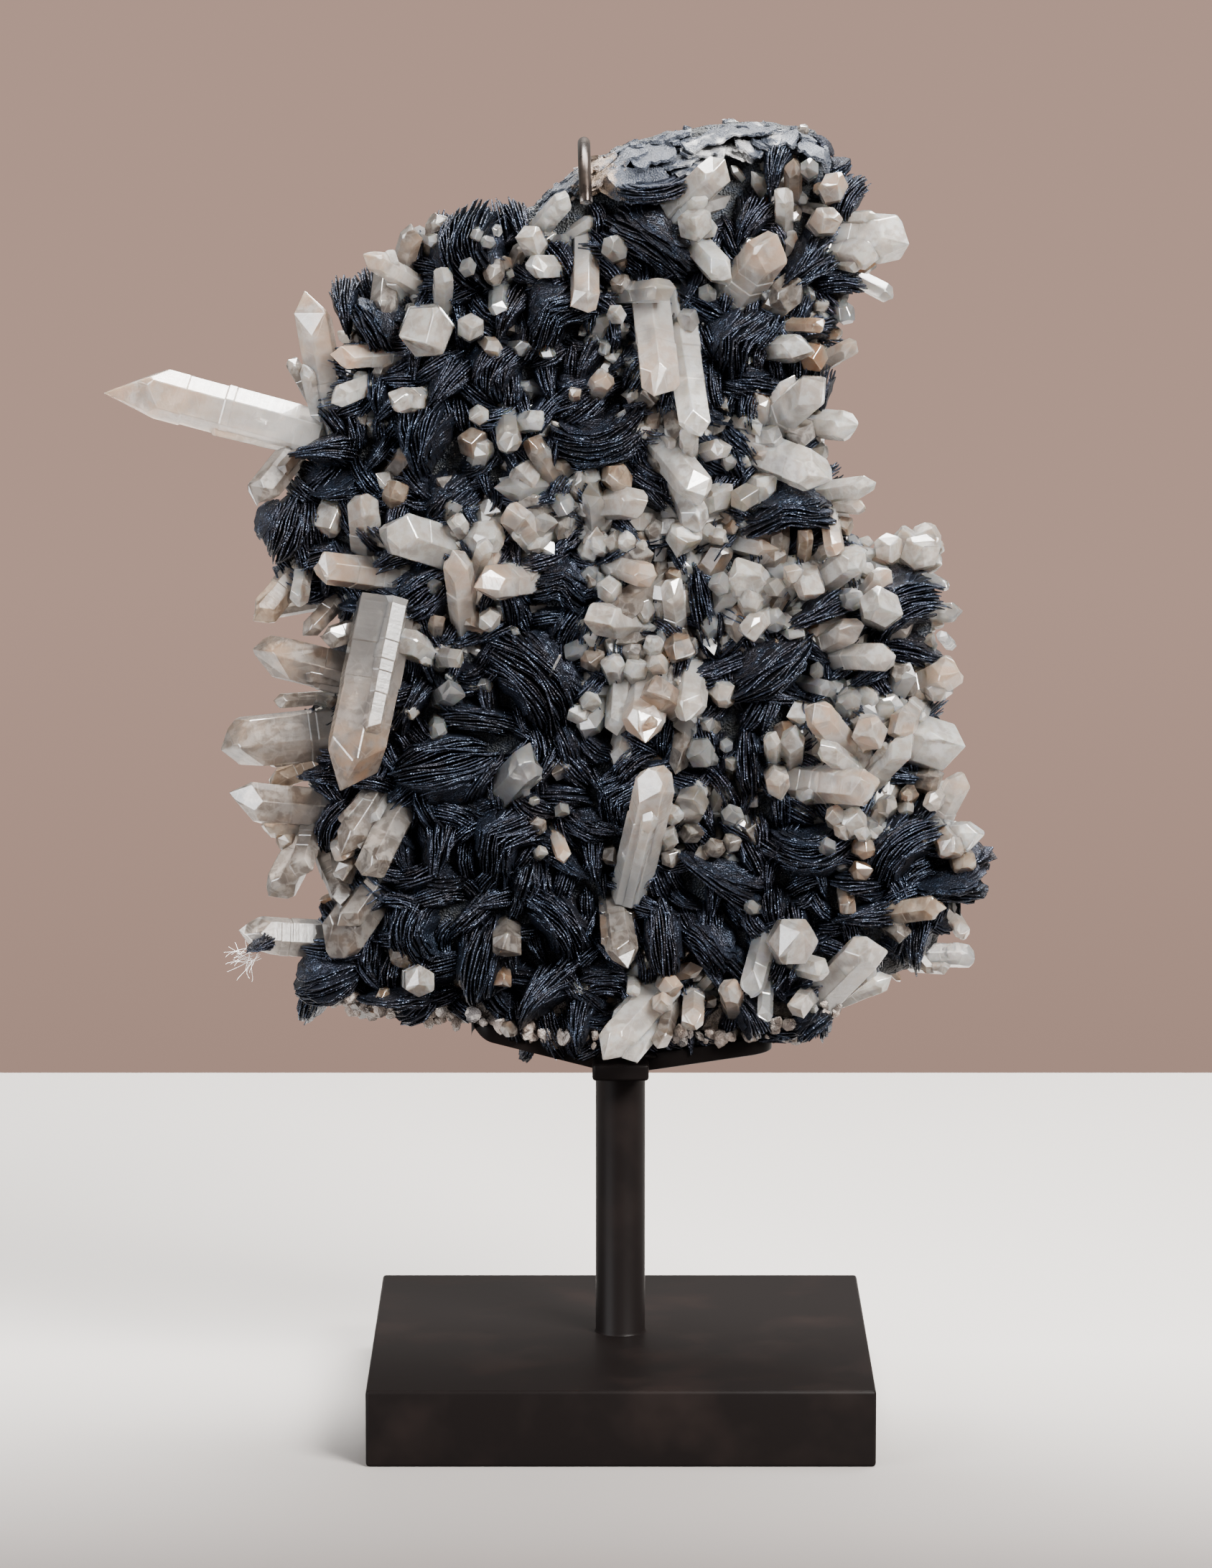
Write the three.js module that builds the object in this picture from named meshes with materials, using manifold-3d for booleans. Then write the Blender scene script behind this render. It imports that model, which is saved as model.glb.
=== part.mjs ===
// Quartz cluster with hematite roses on a black display stand.
// Millimetres, +Z up, +X to the viewer's right, the viewer on the -Y side.
// The origin is the centre of the base's underside.

import * as THREE from 'three';
import { mergeVertices } from 'three/addons/utils/BufferGeometryUtils.js';
import Module from 'manifold-3d';

const wasm = await Module();
wasm.setup();

// Driving dimensions, mm
const BASE_WIDTH = 127;
const BASE_HEIGHT = 19.5;
const BASE_EDGE = 0.8;
const POST_DIAMETER = 12.7;
const POST_TOP = 88;
const POST_SIDES = 28;
const BAR_THICKNESS = 4.4;
const BAR_DEPTH = 13;
const BAR_START = 4;
const BAR_END = { rounding: 0.6, flat: 0.3 };
const ARM_LEFT = { reach: 38.2, rise: 9.8, turn: Math.PI };
const ARM_RIGHT = { reach: 38.8, rise: 5.8, turn: 0 };
const TAB_WIDTH = 14.4;
const TAB_FRONT = 15;
const TAB_BACK = 30;
const STEM_DIAMETER = 6.4;
const STEM_TOP = 236;
const STEM_SIDES = 12;
const STEM_INSET = 1;
const WIRE_DIAMETER = 3.2;
const WIRE_SIDES = 8;
const WIRE_STEPS = 22;
const GAP = 0.3;
const SEAT_DEPTH = 8;
const PLATE_FRONT = 15;
const PLATE_BACK = 19;
const PLATE_SIDES = 54;
const PLATE_RINGS = 6;
const RIM_FULLNESS = 0.55;
const RIPPLES = [{ height: 1.2, turns: 3, slope: 5 }, { height: 0.9, turns: 7, slope: -4 }];
const ROSE_SIDES = 6;
const ROSE_DEPTH = 10.5;
const ROSE_TILT = 0.25;
const GROOVE_DEPTH = 0.86;
const SMALLEST_LUMP = 200;
const SMALLEST_CRYSTAL = 40;
const SNAP = 0.05;

// A crystal's shape: radius as a part of its width, the rest as parts of its radius or length.
const CRYSTAL = {
    sides: 6,
    radius: 0.56,
    point: 0.9,
    pointSpread: 0.5,
    longestPoint: 0.6,
    shoulder: 0.9,
    shoulderSpread: 0.08,
    lean: 0.3,
};

// The wire's middle line: up the back, over the top edge and down the front.
const WIRE_ROUTE = [
    [-0.2, 25.8, 228],
    [-3, 25.8, 262],
    [-7, 25.6, 292],
    [-9, 24.6, 312],
    [-9.3, 18, 322.5],
    [-9.3, 7, 326.6],
    [-9.2, -6, 325.2],
    [-9, -15.5, 319.5],
    [-8.6, -18.6, 312.6],
];

// Front-view readings are taken in the plane Y = 0 from this eye point.
const EYE = { x: -3.7, distance: 1597, z: 407.8 };

// Outline of the rock plate in the front view: [x, z] in mm, clockwise from the upper left.
const PLATE_CENTRE = { x: -4, z: 206 };
const PLATE_OUTLINE = [
    [-43, 305], [-36, 309], [-28, 308], [-20, 312], [-14, 317], [-6, 321.5], [2, 326.5], [12, 328.5],
    [22, 329.8], [28, 331.6], [36, 330.8], [44, 331.2], [51, 328], [53, 319], [57, 312], [57, 298],
    [57, 289], [52, 279], [51, 268], [51, 258], [49, 247], [51, 236], [55, 228], [61, 225],
    [66, 221], [72, 214], [79, 212], [80, 204], [78, 197], [74, 189], [77, 180], [76, 168],
    [78, 156], [82, 148], [88, 142], [89, 136], [86, 130], [82, 122], [78, 115], [69, 111.5],
    [61, 114], [54, 106], [52, 99], [45, 96.5], [36, 97], [28, 95.5], [12, 93.5], [2, 92.5],
    [-10, 92.5], [-22, 94], [-34, 98.5], [-50, 102.5], [-64, 102.5], [-75, 104], [-82, 110], [-80, 118],
    [-72, 127], [-70, 140], [-76, 152], [-79, 161], [-77, 172], [-74, 184], [-68, 194], [-70, 206],
    [-80, 216], [-87, 223], [-89, 229], [-84, 236], [-78, 243], [-77, 254], [-72, 264], [-69, 275],
    [-68, 286], [-58, 290], [-50, 298],
];

// Crystals: [tip x, tip z, tip out, root x, root z, root out, width].
// x and z are front-view readings, out is the distance in front of the plane Y = 0.
const CRYSTALS = {
    top: [
        [25.5, 319.5, 24, 14, 308, 10, 9], [18.5, 304.5, 27, 19.5, 304, 4, 9.5],
        [28, 290, 24, 17, 301.5, 8, 8.5], [39.5, 301, 27, 28, 286, 8, 10.5],
        [53.5, 314.5, 21, 52, 312, 0, 8.5], [52, 306, 24, 50, 304, 2, 8.5],
        [72.5, 300.5, 16, 50, 302, 4, 10.5], [-23, 301, 22, -21, 299, 2, 8.5],
        [-49, 276.5, 26, -49, 279, 2, 13], [64, 294, 14, 50, 297, 2, 5.2],
        [58.5, 281, 14, 49, 287, 2, 6],
    ],
    upper: [
        [-38.5, 278.5, 24, -37, 277.5, 2, 7.6], [10.5, 261.3, 31, 7.5, 288, 10, 11.2],
        [20, 249.5, 29, 13.5, 285, 8, 9.4], [46, 290.5, 20, 35, 281.5, 4, 9],
        [47.5, 273.5, 24, 32, 272.5, 2, 8.4], [50, 271, 16, 46, 272, -4, 8],
        [51.5, 279.2, 22, 36, 279.5, 4, 4.4], [52, 266, 27, 36, 252, 6, 9.6],
        [60, 253.5, 16, 44, 255, 2, 7.6], [47, 251, 20, 45, 253, 0, 8.5],
    ],
    middle: [
        [55, 240, 24, 26, 250.5, 6, 10.6], [21.5, 235, 30, 7.5, 253, 12, 9.6],
        [20.5, 226.6, 26, 12, 244, 8, 7.6], [64.5, 238.5, 14, 46, 236, 0, 6.8],
        [54.5, 221, 24, 52.5, 233, 4, 5.2], [62.5, 222.4, 24, 46, 210, 8, 8.6],
        [48, 210.5, 26, 47, 219, 2, 7.8], [66.5, 208.5, 32, 64.5, 205.5, 4, 11.4],
        [60.5, 203, 24, 46, 196, 6, 7.6], [70.3, 194.8, 26, 50, 195, 8, 9.2],
        [31.5, 235.8, 26, 31.5, 235, 0, 8.2], [6.6, 234.3, 28, -12, 233.3, 8, 8.6],
        [18, 229, 20, 0, 228, 4, 8.4], [16, 223, 26, 15, 223, 2, 9.4],
        [15.5, 194.3, 24, 14, 205, 4, 7.8], [-8.8, 204, 28, 9, 204.8, 8, 9.7],
        [7.5, 187, 28, 7.5, 186.5, 2, 9], [29.5, 217, 28, 29, 216.5, 2, 10.6],
        [37.2, 211.8, 25, 37, 211.5, 0, 9.4], [32, 200.6, 28, 32, 201, 0, 7.8],
    ],
    left: [
        [-92.8, 234.5, 8, -79, 250.5, 0, 8], [-130, 262, 2, -74, 251, 2, 12.8],
        [-78.5, 286.8, 6, -72.5, 252, 0, 8], [-65.5, 236.6, 20, -64, 218, 4, 9.2],
        [-76, 228, 16, -73, 227, -4, 9.4], [-77.8, 218, 22, -52, 214.8, 6, 8.2],
        [-93.8, 196.5, 8, -64, 189.5, 2, 12.2], [-69.5, 161.2, 32, -60, 206, 14, 16.2],
        [-101.8, 172.2, 8, -64, 176.5, 2, 13.9], [-98.4, 158, 10, -66, 154.5, 4, 10.8],
        [-88.9, 131.8, 10, -77, 154, 0, 8.7], [-65, 138.2, 26, -55, 158, 8, 8.9],
        [-71.5, 145, 20, -59, 163, 6, 8.2], [-76, 116.5, 16, -60, 139, 4, 13],
        [-97.8, 123.5, 8, -70, 121.5, 2, 10.8],
    ],
    centre: [
        [-60.7, 228, 26, -41, 221.5, 8, 12.4], [-31.5, 225.6, 26, -31.5, 226, 2, 9.4],
        [-41.6, 221.7, 28, -39, 199.5, 8, 9], [-36.6, 213.5, 28, -19, 215.2, 8, 10.2],
        [-28.4, 233.1, 26, -19, 221.5, 8, 7.6], [-28, 233.8, 20, -9, 230.5, 4, 9.4],
        [-25, 242, 22, -22, 237.5, 2, 8.4], [-8, 240.5, 20, -9, 237, 0, 8],
        [-29.5, 231.5, 16, -39, 235.3, 2, 7.6], [-56.7, 200.2, 24, -44, 193, 6, 8.3],
        [1, 240.2, 26, 1, 239.6, 2, 8], [-21.3, 170, 28, -33, 157.8, 8, 9.9],
    ],
    lower: [
        [5.5, 174.3, 30, 7, 193, 8, 10.8], [17, 178.2, 28, 19, 196, 8, 8.5],
        [20.8, 169.5, 26, 21, 169.5, 2, 8.2], [10, 167.2, 33, 2.8, 136.5, 12, 11.5],
        [19.4, 159.8, 26, 19.3, 159.5, 2, 9], [33.5, 150, 18, 33, 152, -2, 9],
        [38.5, 174.7, 28, 39, 163, 6, 5.2], [40.7, 160.8, 28, 40.7, 162, 2, 7.8],
        [1, 114.8, 24, -2.2, 137, 4, 8.2], [10.2, 94.3, 24, 13.2, 107, 4, 5.4],
        [-4.6, 91.6, 30, 10, 109, 8, 9.8], [-28.6, 119, 26, -29.4, 127, 2, 8.2],
        [-51, 110.5, 24, -54, 113, 0, 8.4], [-56, 116, 18, -55, 121, 0, 7.6],
    ],
    right: [
        [48.5, 182.5, 30, 60, 168.2, 10, 8], [65.7, 161, 30, 44, 163.2, 10, 9.8],
        [74.5, 174.2, 26, 61, 160.6, 8, 8.2], [86.7, 172, 16, 68, 174.5, 2, 13.8],
        [63.8, 175.2, 28, 63.5, 175, 2, 9.4], [70.6, 176.2, 22, 68.5, 176, 0, 8.4],
        [92.2, 148.5, 14, 79, 149.2, 0, 9.2], [86.2, 143.6, 18, 80, 151, 0, 8.2],
        [45.3, 121.6, 30, 41.5, 121.4, 2, 12.4], [66, 122.2, 22, 50, 106.2, 2, 11.2],
        [86.6, 192.4, 12, 73, 186.5, 0, 9.4], [84.3, 185.6, 10, 73, 190.5, -2, 8.4],
        [79.6, 227.6, 8, 72, 219.5, -4, 9], [71.6, 226.6, 12, 73, 218.5, -4, 8.6],
        [80.8, 219, 6, 72, 220.5, -4, 8], [68, 223.3, 14, 69, 220.5, -4, 7.8],
        [76.4, 222.4, 18, 75, 220, -4, 10],
    ],
};

// Hematite roses, each a stack of plates seen edge-on: [x, z, out, half length along the
// plates, half height of the stack, angle of the plates in degrees, number of plates].
const ROSES = [
    [-37, 299, 12, 11, 11, 100, 3], [8, 300, 13, 13, 8, -35, 3], [46, 293, 12, 10, 8, 40, 3],
    [-38, 268, 14, 12, 9.5, 45, 3], [-16, 282, 14, 10.5, 9, 40, 3], [-49, 250, 14, 10.5, 11.5, 88, 3],
    [-5, 252, 15, 13.5, 9, 14, 3], [29, 276, 13, 10.5, 9.5, 60, 3], [-50, 211, 12, 10, 8.5, 35, 3],
    [-22, 189, 15, 15, 12, -50, 3], [-45, 167, 15, 14, 10.5, 12, 3], [-29.5, 148, 15, 10.5, 10, 50, 3],
    [-47, 146, 11, 10.5, 8, 80, 3], [37.5, 192, 15, 13, 8, 35, 3], [42, 232, 14, 12.5, 7.5, 8, 3],
    [71.5, 208, 10, 11, 9.5, 25, 3], [49, 147, 14, 11.5, 8.5, 5, 3], [72, 146, 12, 11, 8, 42, 3],
    [25, 139, 13, 14, 7.5, -33, 3], [-35, 116, 13, 12, 7.5, 78, 3], [-16, 126, 12, 11, 7.5, -55, 3],
    [-76, 112, 8, 9.5, 8.5, 20, 3],
];

function sight(x, z, out) {
    const nearness = (EYE.distance - out) / EYE.distance;
    return new THREE.Vector3(
        EYE.x + (x - EYE.x) * nearness,
        -out,
        EYE.z + (z - EYE.z) * nearness,
    );
}

// A repeatable number from 0 to 1 for each place and use.
function chance(a, b, use) {
    const value = Math.sin(a * 12.9898 + b * 78.233 + use * 37.719) * 43758.5453;
    return value - Math.floor(value);
}

function solidOf(geometry) {
    const source = geometry.clone();
    source.deleteAttribute('normal');
    source.deleteAttribute('uv');
    const welded = mergeVertices(source, 1e-4);
    const index = welded.index.array;
    const triangles = [];
    for (let i = 0; i < index.length; i += 3) {
        const [a, b, c] = [index[i], index[i + 1], index[i + 2]];
        if (a !== b && b !== c && c !== a) {
            triangles.push(a, b, c);
        }
    }
    return new wasm.Manifold(new wasm.Mesh({
        numProp: 3,
        vertProperties: new Float32Array(welded.attributes.position.array),
        triVerts: new Uint32Array(triangles),
    }));
}

function joined(solids) {
    let list = solids;
    while (list.length > 1) {
        const next = [];
        for (let i = 0; i < list.length; i += 2) {
            next.push(i + 1 < list.length ? list[i].add(list[i + 1]) : list[i]);
        }
        list = next;
    }
    return list[0];
}

// Points closer than the snap distance become one, and the triangles that this flattens go.
function geometryOf(solid) {
    const mesh = solid.getMesh();
    const places = new Map();
    const positions = [];
    const renamed = [];
    for (let i = 0; i < mesh.vertProperties.length; i += 3) {
        const point = [0, 1, 2].map((k) => Math.round(mesh.vertProperties[i + k] / SNAP) * SNAP);
        const key = point.map((value) => Math.round(value / SNAP)).join();
        if (!places.has(key)) {
            places.set(key, positions.length / 3);
            positions.push(...point);
        }
        renamed.push(places.get(key));
    }
    const kept = new Map();
    for (let i = 0; i < mesh.triVerts.length; i += 3) {
        const corners = [0, 1, 2].map((k) => renamed[mesh.triVerts[i + k]]);
        if (new Set(corners).size === 3) {
            const first = corners.indexOf(Math.min(...corners));
            const turned = [0, 1, 2].map((k) => corners[(first + k) % 3]);
            const opposite = [turned[0], turned[2], turned[1]].join();
            if (kept.has(opposite)) {
                kept.delete(opposite);
            } else {
                kept.set(turned.join(), turned);
            }
        }
    }
    const geometry = new THREE.BufferGeometry();
    geometry.setAttribute('position', new THREE.Float32BufferAttribute(positions, 3));
    geometry.setIndex([...kept.values()].flat());
    return geometry.toNonIndexed();
}

// Six-sided prism with a six-sided point. Its foot is flat and its point leans a little.
function crystal(row, margin) {
    const [tipX, tipZ, tipOut, rootX, rootZ, rootOut, width] = row;
    const tip = sight(tipX, tipZ, tipOut);
    const root = sight(rootX, rootZ, rootOut);
    const axis = tip.clone().sub(root);
    const length = axis.length() + 2 * margin;
    const radius = width * CRYSTAL.radius + margin;
    const sharpness = CRYSTAL.point + CRYSTAL.pointSpread * chance(tipX, tipZ, 1);
    const point = Math.min(radius * sharpness, length * CRYSTAL.longestPoint);
    const taper = CRYSTAL.shoulder + CRYSTAL.shoulderSpread * chance(tipX, tipZ, 2);
    const profile = [
        new THREE.Vector2(0, 0),
        new THREE.Vector2(radius, 0),
        new THREE.Vector2(radius * taper, length - point),
        new THREE.Vector2(0, length),
    ];
    const shape = new THREE.LatheGeometry(profile, CRYSTAL.sides);
    const corner = shape.attributes.position;
    const lean = radius * CRYSTAL.lean;
    for (let i = 0; i < corner.count; i += 1) {
        if (Math.hypot(corner.getX(i), corner.getZ(i)) < 1e-6 && corner.getY(i) > length * 0.5) {
            corner.setX(i, lean * (chance(tipX, tipZ, 3) - 0.5));
            corner.setZ(i, lean * (chance(tipX, tipZ, 4) - 0.5));
        }
    }
    shape.rotateY(Math.PI * chance(tipX, tipZ, 5));
    const along = axis.clone().normalize();
    const turn = new THREE.Quaternion().setFromUnitVectors(new THREE.Vector3(0, 1, 0), along);
    shape.applyQuaternion(turn);
    const foot = root.clone().addScaledVector(along, -margin);
    shape.translate(foot.x, foot.y, foot.z);
    return solidOf(shape);
}

// Distance from the plate's centre to its outline in one direction of the front view.
function outlineReach(angle) {
    const turns = PLATE_OUTLINE.map(([x, z]) => ({
        angle: Math.atan2(z - PLATE_CENTRE.z, x - PLATE_CENTRE.x),
        reach: Math.hypot(x - PLATE_CENTRE.x, z - PLATE_CENTRE.z),
    })).sort((a, b) => a.angle - b.angle);
    const after = turns.findIndex((turn) => turn.angle > angle);
    const next = turns[after === -1 ? 0 : after];
    const last = turns[(after === -1 ? turns.length : after || turns.length) - 1];
    const span = (next.angle - last.angle + 2 * Math.PI) % (2 * Math.PI);
    const along = (angle - last.angle + 2 * Math.PI) % (2 * Math.PI);
    return last.reach + (next.reach - last.reach) * Math.min(1, along / span);
}

// The quartz plate: a cushion of rock whose rim follows the outline.
function plate(margin) {
    const shape = new THREE.SphereGeometry(1, PLATE_SIDES, PLATE_RINGS);
    const corner = shape.attributes.position;
    for (let i = 0; i < corner.count; i += 1) {
        const across = Math.hypot(corner.getX(i), corner.getZ(i));
        const angle = Math.atan2(corner.getZ(i), corner.getX(i));
        const side = corner.getY(i);
        const ripple = RIPPLES.reduce(
            (sum, { height, turns, slope }) => sum + height * Math.sin(turns * angle + slope * side),
            0,
        );
        const reach = (outlineReach(angle) + margin) * across ** RIM_FULLNESS;
        const depth = (side < 0 ? PLATE_FRONT : PLATE_BACK) + margin;
        corner.setX(i, PLATE_CENTRE.x + Math.cos(angle) * reach);
        corner.setZ(i, PLATE_CENTRE.z + Math.sin(angle) * reach);
        corner.setY(i, side * depth + ripple * across * Math.abs(side));
    }
    return solidOf(shape);
}

// A lump of stacked plates: a spool with grooves, turned so that the plates are seen edge-on.
function rose(row) {
    const [x, z, out, halfLength, halfStack, angle, plates] = row;
    const profile = [new THREE.Vector2(0, -halfStack)];
    const rings = 2 * plates + 1;
    for (let ring = 0; ring < rings; ring += 1) {
        const across = -1 + (2 * (ring + 0.5)) / rings;
        const rim = ring % 2 === 0 ? GROOVE_DEPTH : 1;
        profile.push(new THREE.Vector2(rim * Math.sqrt(1 - across * across), across * halfStack));
    }
    profile.push(new THREE.Vector2(0, halfStack));
    const shape = new THREE.LatheGeometry(profile, ROSE_SIDES);
    shape.scale(halfLength, 1, Math.min(halfLength, ROSE_DEPTH));
    shape.rotateX(ROSE_TILT * (chance(x, z, 6) - 0.5));
    const edgeOn = new THREE.Matrix4().makeBasis(
        new THREE.Vector3(1, 0, 0),
        new THREE.Vector3(0, 0, 1),
        new THREE.Vector3(0, -1, 0),
    );
    shape.applyMatrix4(edgeOn);
    shape.rotateY(THREE.MathUtils.degToRad(-angle));
    const centre = sight(x, z, out);
    shape.translate(centre.x, centre.y, centre.z);
    return solidOf(shape);
}

function box(width, depth, height, x, y, z) {
    const shape = new THREE.BoxGeometry(width, depth, height);
    shape.translate(x, y, z);
    return solidOf(shape);
}

// One arm of the cradle: a flat bar that rises outward and has a rounded end.
function arm({ reach, rise, turn }, margin) {
    const half = BAR_DEPTH / 2 + margin;
    const end = reach + margin;
    const outline = new THREE.Shape();
    const corner = end - half * BAR_END.rounding;
    const flat = half * BAR_END.flat;
    outline.moveTo(-BAR_START, -half);
    outline.lineTo(corner, -half);
    outline.quadraticCurveTo(end, -half, end, -flat);
    outline.lineTo(end, flat);
    outline.quadraticCurveTo(end, half, corner, half);
    outline.lineTo(-BAR_START, half);
    const shape = new THREE.ExtrudeGeometry(outline, {
        depth: BAR_THICKNESS + 2 * margin,
        bevelEnabled: false,
        curveSegments: 4,
    });
    const places = shape.attributes.position;
    for (let i = 0; i < places.count; i += 1) {
        const along = Math.max(0, places.getX(i));
        places.setZ(i, places.getZ(i) + POST_TOP - margin + rise * (along / reach));
    }
    shape.rotateZ(turn);
    return solidOf(shape);
}

function cradle(margin) {
    const length = TAB_FRONT + TAB_BACK + 2 * margin;
    const tab = box(
        TAB_WIDTH + 2 * margin,
        length,
        BAR_THICKNESS + 2 * margin,
        0,
        (TAB_BACK - TAB_FRONT) / 2,
        POST_TOP + BAR_THICKNESS / 2,
    );
    return joined([arm(ARM_LEFT, margin), arm(ARM_RIGHT, margin), tab]);
}

// Back stem, and the wire that bends over the top of the rock and down its front.
function hook(margin) {
    const foot = POST_TOP + BAR_THICKNESS + GAP - margin;
    const stem = new THREE.CylinderGeometry(
        STEM_DIAMETER / 2 + margin,
        STEM_DIAMETER / 2 + margin,
        STEM_TOP - foot,
        STEM_SIDES,
    );
    stem.rotateX(Math.PI / 2);
    stem.translate(0, TAB_BACK - STEM_DIAMETER / 2 - STEM_INSET, (STEM_TOP + foot) / 2);
    const points = WIRE_ROUTE.map(([x, y, z]) => new THREE.Vector3(x, y, z));
    const route = new THREE.CatmullRomCurve3(points, false, 'centripetal');
    const section = new THREE.Shape();
    section.absarc(0, 0, WIRE_DIAMETER / 2 + margin, 0, 2 * Math.PI);
    const wire = new THREE.ExtrudeGeometry(section, {
        steps: WIRE_STEPS,
        extrudePath: route,
        curveSegments: WIRE_SIDES / 2,
    });
    return joined([solidOf(stem), solidOf(wire)]);
}

function base() {
    const half = BASE_WIDTH / 2 - BASE_EDGE;
    const outline = new THREE.Shape();
    outline.moveTo(-half, -half);
    outline.lineTo(half, -half);
    outline.lineTo(half, half);
    outline.lineTo(-half, half);
    const shape = new THREE.ExtrudeGeometry(outline, {
        depth: BASE_HEIGHT - 2 * BASE_EDGE,
        bevelThickness: BASE_EDGE,
        bevelSize: BASE_EDGE,
        bevelSegments: 1,
    });
    shape.translate(0, 0, BASE_EDGE);
    return shape;
}

function post() {
    const bottom = BASE_HEIGHT + GAP;
    const height = POST_TOP - GAP - bottom;
    const shape = new THREE.CylinderGeometry(POST_DIAMETER / 2, POST_DIAMETER / 2, height, POST_SIDES);
    shape.rotateX(Math.PI / 2);
    shape.translate(0, 0, bottom + height / 2);
    return shape;
}

// Space kept free above the cradle's bars, so that the rock sits on them.
function seat(margin) {
    const space = box(2 * BASE_WIDTH, 2 * TAB_BACK, SEAT_DEPTH, 0, 0, POST_TOP - SEAT_DEPTH / 2);
    return joined([cradle(margin), space]);
}

const finishes = {
    paint: { color: 0x1b1a1c, roughness: 0.5, metalness: 0.2 },
    wire: { color: 0x3a322f, roughness: 0.35, metalness: 0.8 },
    quartz: { color: 0xcfc4b8, roughness: 0.35, metalness: 0 },
    hematite: { color: 0x1a1f26, roughness: 0.35, metalness: 0.85 },
};

const model = new THREE.Group();

function place(name, geometry, finish) {
    const mesh = new THREE.Mesh(geometry, new THREE.MeshStandardMaterial(finishes[finish]));
    mesh.name = name;
    model.add(mesh);
}

place('stand_base', base(), 'paint');
place('stand_post', post(), 'paint');
place('stand_cradle', geometryOf(cradle(0)), 'paint');
place('stand_hook', geometryOf(hook(0)), 'wire');

const holder = joined([seat(GAP), hook(GAP)]);
const rows = Object.values(CRYSTALS).flat();
const quartz = joined([plate(0), ...rows.map((row) => crystal(row, 0))]).subtract(holder);
const room = joined([plate(GAP), ...rows.map((row) => crystal(row, GAP)), holder]);
const roses = joined(ROSES.map(rose)).subtract(room);

const bySize = (a, b) => b.volume() - a.volume();
const grown = quartz.decompose().filter((body) => body.volume() > SMALLEST_CRYSTAL).sort(bySize);
grown.forEach((body, order) => {
    const name = order === 0 ? 'quartz_plate' : `quartz_crystal_${order}`;
    place(name, geometryOf(body), 'quartz');
});
const lumps = roses.decompose().filter((body) => body.volume() > SMALLEST_LUMP).sort(bySize);
lumps.forEach((body, order) => {
    place(`hematite_rose_${order + 1}`, geometryOf(body), 'hematite');
});

export default model;
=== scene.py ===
"""Quartz cluster with hematite roses, resting in a black display stand with a wire hook.

Metres, +Z up, the viewer on the -Y side. Readings of the front view are in millimetres.
"""

import math
import random

import bpy
import numpy as np
from mathutils import Euler, Matrix, Vector, noise


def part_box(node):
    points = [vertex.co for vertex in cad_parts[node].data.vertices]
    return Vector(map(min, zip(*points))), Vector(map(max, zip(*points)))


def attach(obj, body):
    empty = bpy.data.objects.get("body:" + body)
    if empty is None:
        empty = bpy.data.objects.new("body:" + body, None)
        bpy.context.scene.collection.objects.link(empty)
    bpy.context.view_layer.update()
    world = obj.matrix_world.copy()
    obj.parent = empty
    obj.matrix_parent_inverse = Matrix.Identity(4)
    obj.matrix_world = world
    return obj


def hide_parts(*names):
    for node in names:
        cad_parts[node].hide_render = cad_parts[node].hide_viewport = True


bl_info = {
    "name": "Quartz cluster on a stand",
    "version": (1, 0, 0),
    "blender": (4, 5, 0),
    "location": "View3D > Sidebar > Quartz cluster",
    "description": "Builds a quartz and hematite specimen around its solid parts",
    "category": "Add Mesh",
}

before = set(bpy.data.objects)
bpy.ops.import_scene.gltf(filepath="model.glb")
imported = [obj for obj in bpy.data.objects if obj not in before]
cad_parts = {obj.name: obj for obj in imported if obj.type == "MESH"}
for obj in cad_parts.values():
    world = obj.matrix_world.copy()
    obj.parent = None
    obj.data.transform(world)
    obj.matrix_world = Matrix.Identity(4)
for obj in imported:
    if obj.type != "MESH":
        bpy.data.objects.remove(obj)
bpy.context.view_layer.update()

MM = 0.001

# Where the front view is seen from, how far it looks down, and its lens.
EYE = Vector((-3.7, -1597.0, 407.8)) * MM
PITCH = math.radians(8.74)
LENS = 145.57

BODY = "root"

# Outline of the rock plate in the front view, clockwise from the upper left, and its middle.
PLATE_CENTRE = (-4, 206)
PLATE_OUTLINE = [
    (-43, 305), (-36, 309), (-28, 308), (-20, 312), (-14, 317), (-6, 321.5), (2, 326.5), (12, 328.5),
    (22, 329.8), (28, 331.6), (36, 330.8), (44, 331.2), (51, 328), (53, 319), (57, 312), (57, 298),
    (57, 289), (52, 279), (51, 268), (51, 258), (49, 247), (51, 236), (55, 228), (61, 225), (66, 221),
    (72, 214), (79, 212), (80, 204), (78, 197), (74, 189), (77, 180), (76, 168), (78, 156), (82, 148),
    (88, 142), (89, 136), (86, 130), (82, 122), (78, 115), (69, 111.5), (61, 114), (54, 106), (52, 99),
    (45, 96.5), (36, 97), (28, 95.5), (12, 93.5), (2, 92.5), (-10, 92.5), (-22, 94), (-34, 98.5),
    (-50, 102.5), (-64, 102.5), (-75, 104), (-82, 110), (-80, 118), (-72, 127), (-70, 140), (-76, 152),
    (-79, 161), (-77, 172), (-74, 184), (-68, 194), (-70, 206), (-80, 216), (-87, 223), (-89, 229),
    (-84, 236), (-78, 243), (-77, 254), (-72, 264), (-69, 275), (-68, 286), (-58, 290), (-50, 298),
]

# How far the plate stands out in front and behind, and how full its rim is (less is fuller).
PLATE_FRONT = 14
PLATE_BACK = 18
RIM_FULLNESS = 0.55

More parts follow.
